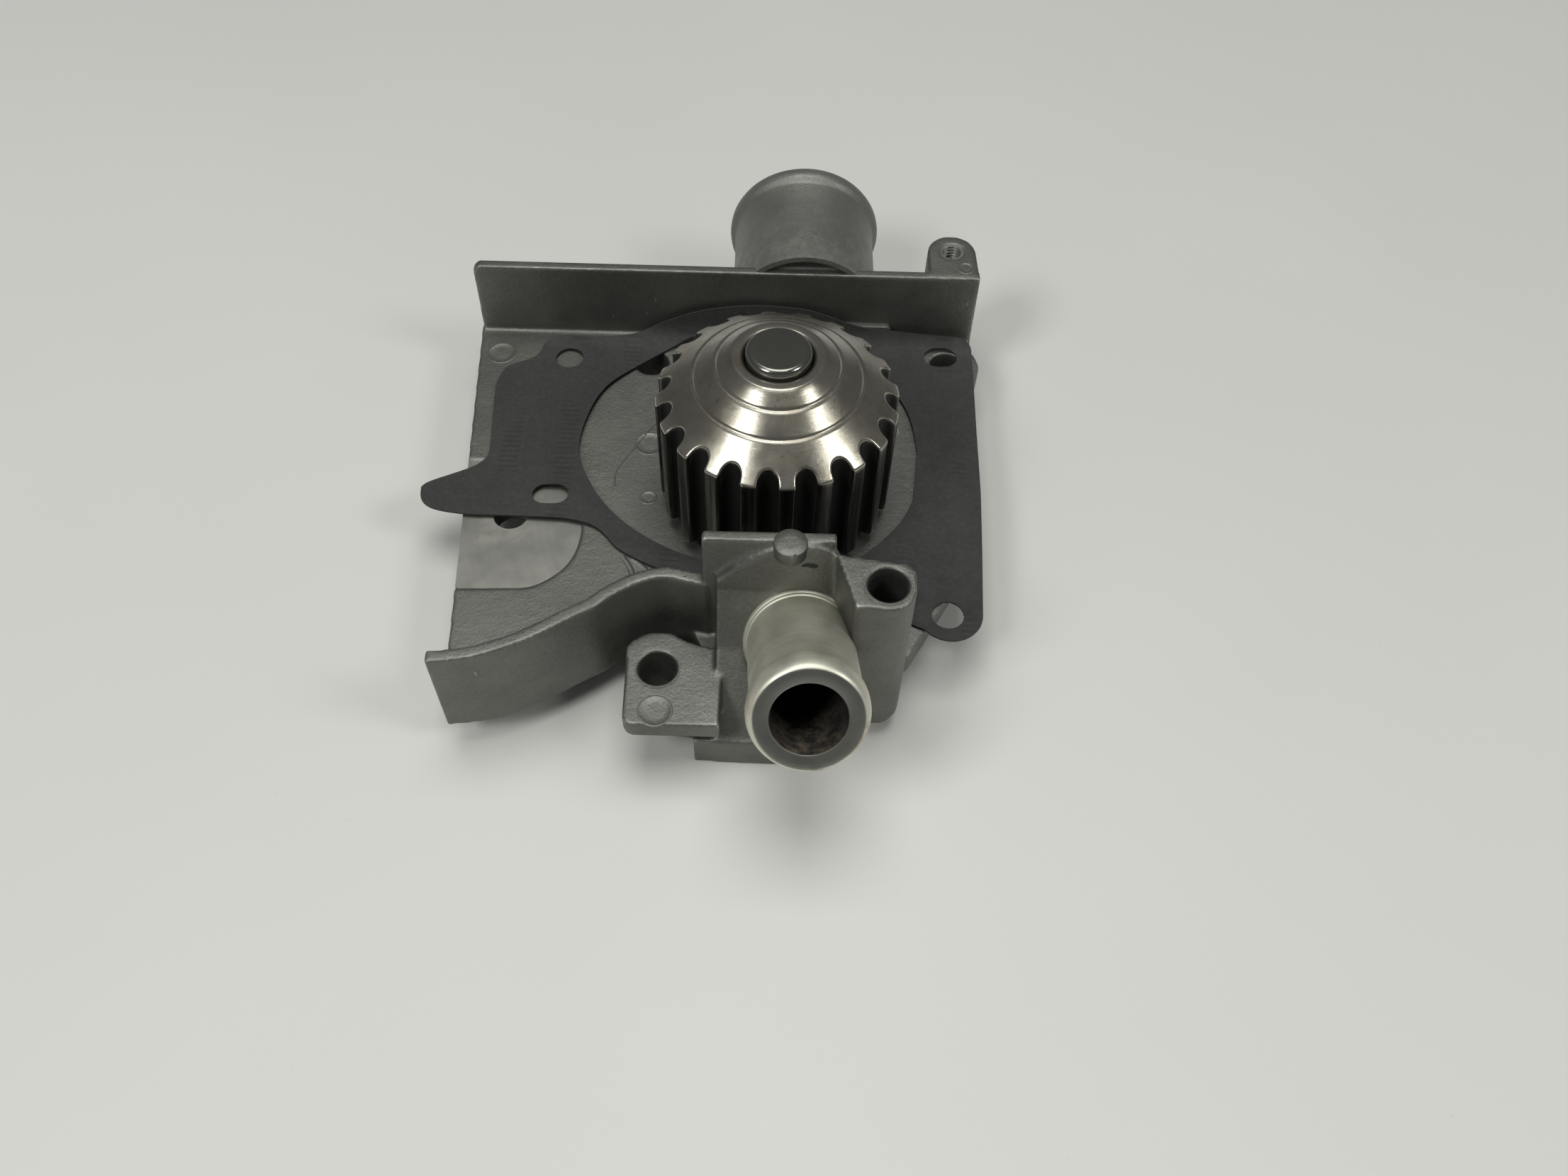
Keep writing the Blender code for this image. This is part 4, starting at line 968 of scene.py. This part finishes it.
def neck_finish():
    """Turned aluminium barrel, an end face painted dark as painted shade, and a bore painted near black as
    painted shade with rust-brown deposit.
    """
    s = Shader("neck_aluminium")
    x, y, z = s.axes()
    radius = s.radius()
    line = s.nodes.new("ShaderNodeCombineXYZ")
    s.links.new(s.math("MULTIPLY", z, 1500.0), line.inputs[0])
    s.links.new(s.math("MULTIPLY", radius, 1500.0), line.inputs[1])
    rings = s.noise(1.0, 4.0, 0.7, line.outputs[0])
    cloud = s.ramp(s.noise(60.0, 5.0, 0.6), 0.35, 0.65)
    color = s.mix(cloud, (0.68, 0.68, 0.585), (0.78, 0.775, 0.67))
    color = s.mix(s.ramp(rings, 0.35, 0.65, 0.0, 0.25), color, (0.45, 0.45, 0.39))
    near_mouth = s.ramp(z, -0.0085, -0.003)
    stain = s.math("MULTIPLY", s.ramp(s.noise(85.0, 5.0, 0.65), 0.47, 0.62), near_mouth, clamp=True)
    lower = s.ramp(s.math("SUBTRACT", x, y), 0.004, 0.014)
    stain = s.math("MULTIPLY", stain, s.math("ADD", s.math("MULTIPLY", lower, 0.65), 0.2), clamp=True)
    color = s.mix(stain, color, (0.30, 0.235, 0.14))
    # Painted shade: the turned end face is painted far darker than the barrel of the same aluminium, standing
    # in for its dim reflection.
    face = s.math("MULTIPLY", s.ramp(z, -0.00035, -0.0001), s.ramp(radius, 0.0122, 0.0116), clamp=True)
    color = s.mix(s.math("MULTIPLY", face, 0.85), color, (0.15, 0.155, 0.15))
    # Painted shade: the bore is painted near black where the inside of the tube lies in shade, with
    # rust-brown deposit patches towards its low side.
    bore = s.ramp(radius, 0.0086, 0.0083)
    low_side = s.ramp(y, 0.002, -0.008)
    rust = s.math("MULTIPLY", s.ramp(s.noise(350.0, 5.0, 0.7), 0.42, 0.64), low_side, clamp=True)
    bore_shade_and_deposit = s.mix(rust, (0.006, 0.006, 0.006), (0.075, 0.060, 0.042))
    color = s.mix(bore, color, bore_shade_and_deposit)
    s.bump(rings, 0.14, 0.0002)
    s.bump(s.noise(700.0, 3.0), 0.08, 0.0002)
    grit = s.math("MULTIPLY", s.noise(380.0, 4.0, 0.7), bore)
    s.bump(grit, 0.8, 0.0008)
    rough = s.math("ADD", s.ramp(s.noise(130.0, 4.0), 0.3, 0.7, 0.44, 0.54), s.math("MULTIPLY", bore, 0.3))
    rough = s.math("SUBTRACT", rough, s.math("MULTIPLY", face, 0.14))
    rough = s.math("ADD", rough, s.math("MULTIPLY", stain, 0.15))
    return s.done(color, rough, s.ramp(bore, 0.0, 1.0, 0.88, 0.1))


def build():
    finish_piece(cast_body(), CAST, HOUSING, "cast_aluminium", "pump_housing")
    finish_piece(rear_neck(), TUBE, HOUSING, "cast_aluminium", angle=40)
    finish_piece(front_neck(), neck_finish(), HOUSING, "cast_aluminium", angle=40)
    finish_piece(machined_pad(), MILLED, HOUSING, "cast_aluminium", angle=30)
    finish_piece(ear_thread(), TUBE, HOUSING, "cast_aluminium", angle=30)
    finish_piece(wall_ledge(), CAST_MARK, HOUSING, "cast_aluminium", angle=40)
    z = PLATE_TOP - 0.05
    seam = [(-31.0, 26.5, z), (-34.5, 20.5, z), (-39.5, 11.5, z), (-42.2, 5.6, z), (-42.3, 0.4, z)]
    finish_piece(ridge("tray_seam", seam, 0.2), CAST_MARK, HOUSING, "cast_aluminium")
    low = PLATE_TOP - 0.95
    for number, path in enumerate(([(-38.3, -22.7, low), (-35.8, -27.0, low), (-34.4, -33.0, low)],
                                   [(-35.8, -23.3, low), (-32.5, -26.3, low), (-28.6, -31.6, low)]), 1):
        finish_piece(ridge(f"tray_rib_{number}", path, 1.3), CAST_MARK, HOUSING, "cast_aluminium")
    marks = (("ejector_mark_1", -78.6, 48.9, PLATE_TOP, 3.9),
             ("ejector_mark_2", -34.0, 15.7, PLATE_TOP, 3.9),
             ("ejector_mark_3", -26.6, -70.0, LUG_TOP, 3.9),
             ("ejector_mark_4", 52.2, 63.2, WALL_TOP + 0.2, 2.2),
             ("round_mark", -33.1, -3.2, PLATE_TOP, 2.1))
    for name, x, y, height, radius in marks:
        finish_piece(ejector_mark(name, x, y, height, radius), CAST_MARK, HOUSING, "cast_aluminium", angle=40)
    finish_piece(ejector_disc(), CAST_MARK, HOUSING, "cast_aluminium", angle=40)
    for name, (x, y), height in (("boss_rim", HOLE_BOSS, BOSS_TOP), ("lug_rim", HOLE_LUG, LUG_TOP)):
        finish_piece(hole_rim(name, x, y, height), CAST_MARK, HOUSING, "cast_aluminium", angle=40)
    finish_piece(gasket(), gasket_material(), HOUSING, "gasket_paper", "gasket", angle=40)
    finish_piece(sprocket(), sprocket_material(), ROTOR, "sintered_steel", "timing_belt_sprocket", angle=50)
    finish_piece(shaft(), GROUND, ROTOR, "ground_steel", "pump_shaft", angle=50)


def finish_cad_nodes():
    """Every CAD node that still shows gets the procedural finish of its material slot."""
    looks = (
        ("stamped_steel", (0.36, 0.35, 0.33), (0.26, 0.25, 0.23), 90.0, 0.36, 0.5, 0.9, 0.1),
        ("bearing_steel", (0.55, 0.55, 0.55), (0.46, 0.46, 0.45), 120.0, 0.16, 0.26, 1.0, 0.1),
        ("cage_polymer", (0.66, 0.60, 0.45), (0.58, 0.52, 0.38), 150.0, 0.45, 0.58, 0.0, 0.1),
        ("nitrile_rubber", (0.020, 0.020, 0.020), (0.035, 0.034, 0.033), 140.0, 0.6, 0.8, 0.0, 0.1),
        ("stainless_sheet", (0.55, 0.55, 0.54), (0.47, 0.47, 0.46), 110.0, 0.24, 0.34, 1.0, 0.1),
        ("spring_steel", (0.50, 0.50, 0.49), (0.42, 0.42, 0.41), 160.0, 0.22, 0.34, 1.0, 0.1),
        ("carbon", (0.025, 0.025, 0.028), (0.040, 0.040, 0.043), 150.0, 0.28, 0.4, 0.0, 0.1),
        ("ceramic", (0.80, 0.79, 0.75), (0.74, 0.73, 0.69), 130.0, 0.14, 0.24, 0.0, 0.03),
    )
    finishes = {look[0]: plain_finish(*look) for look in looks}
    slots = {entry["node"]: entry["material_slot"] for entry in frame["record"]["subparts"]}
    for name, node in frame["nodes"].items():
        material = finishes.get(slots[name])
        if material:
            for place in node.material_slots:
                place.material = material


build()
finish_cad_nodes()


# ---------------------------------------------------------------- floor, light and camera

def floor():
    s = Shader("bench_sheet")
    tone = s.mix(s.ramp(s.noise(3.0, 4.0), 0.3, 0.7), (0.60, 0.60, 0.585), (0.64, 0.64, 0.625))
    speck = s.ramp(s.noise(500.0, 2.0), 0.76, 0.80)
    tone = s.mix(s.math("MULTIPLY", speck, 0.3), tone, (0.40, 0.39, 0.37))
    s.bump(s.noise(900.0, 2.0), 0.05, 0.0002)
    material = s.done(tone, 0.55, 0.0)
    mesh = bpy.data.meshes.new("floor")
    mesh.from_pydata([(-3, -3, 0), (3, -3, 0), (3, 3, 0), (-3, 3, 0)], [], [(0, 1, 2, 3)])
    obj = bpy.data.objects.new("floor", mesh)
    bpy.context.scene.collection.objects.link(obj)
    obj.data.materials.append(material)


def direction(azimuth, elevation):
    """Away from the pump; azimuth 0 is in front, 90 degrees to the right."""
    level = math.cos(elevation)
    return Vector((math.sin(azimuth) * level, -math.cos(azimuth) * level, math.sin(elevation)))


def area_light(name, azimuth, elevation, distance, size, power, color):
    """A square soft light that faces the pump."""
    light = bpy.data.lights.new(name, "AREA")
    light.size = size
    light.energy = power
    light.color = color
    obj = bpy.data.objects.new(name, light)
    a, e = math.radians(azimuth), math.radians(elevation)
    away = direction(a, e)
    obj.location = away * distance
    obj.rotation_euler = away.to_track_quat("Z", "Y").to_euler()
    bpy.context.scene.collection.objects.link(obj)


def camera():
    """Looks 54.5 degrees down from in front, a little from the left, slightly rolled."""
    yaw, elevation, roll = math.radians(-1.662), math.radians(54.508), math.radians(2.653)
    away = direction(yaw, elevation)
    place = Vector((2.049, -57.005, 0.0)) + away * 273.341
    right = (-away).cross(Vector((0.0, 0.0, 1.0))).normalized()
    up = right.cross(-away)
    turned_right = right * math.cos(roll) + up * math.sin(roll)
    turned_up = up * math.cos(roll) - right * math.sin(roll)
    data = bpy.data.cameras.new("camera")
    data.sensor_width = 36.0
    data.lens = 1789.0 / 2212.0 * 36.0
    data.clip_start = 0.01
    obj = bpy.data.objects.new("camera", data)
    rotation = Matrix((turned_right, turned_up, away)).transposed().to_4x4()
    obj.matrix_world = Matrix.Translation(ORIGIN + place * MM) @ rotation
    bpy.context.scene.collection.objects.link(obj)
    bpy.context.scene.camera = obj


def world():
    w = bpy.data.worlds.new("room")
    w.use_nodes = True
    w.node_tree.nodes["Background"].inputs["Color"].default_value = (1.0, 1.0, 1.0, 1.0)
    w.node_tree.nodes["Background"].inputs["Strength"].default_value = 0.13
    bpy.context.scene.world = w


floor()
world()
camera()
LIGHT_COLOR = (1.0, 1.0, 0.955)
area_light("front_left", -48.0, 49.0, 1.3, 0.34, 5.8, LIGHT_COLOR)
area_light("front_right", 68.0, 44.0, 1.4, 0.34, 4.0, LIGHT_COLOR)
area_light("overhead", 178.0, 85.0, 1.5, 0.9, 11.5, LIGHT_COLOR)
bpy.context.scene.view_settings.view_transform = "Standard"
bpy.context.scene.view_settings.look = "None"
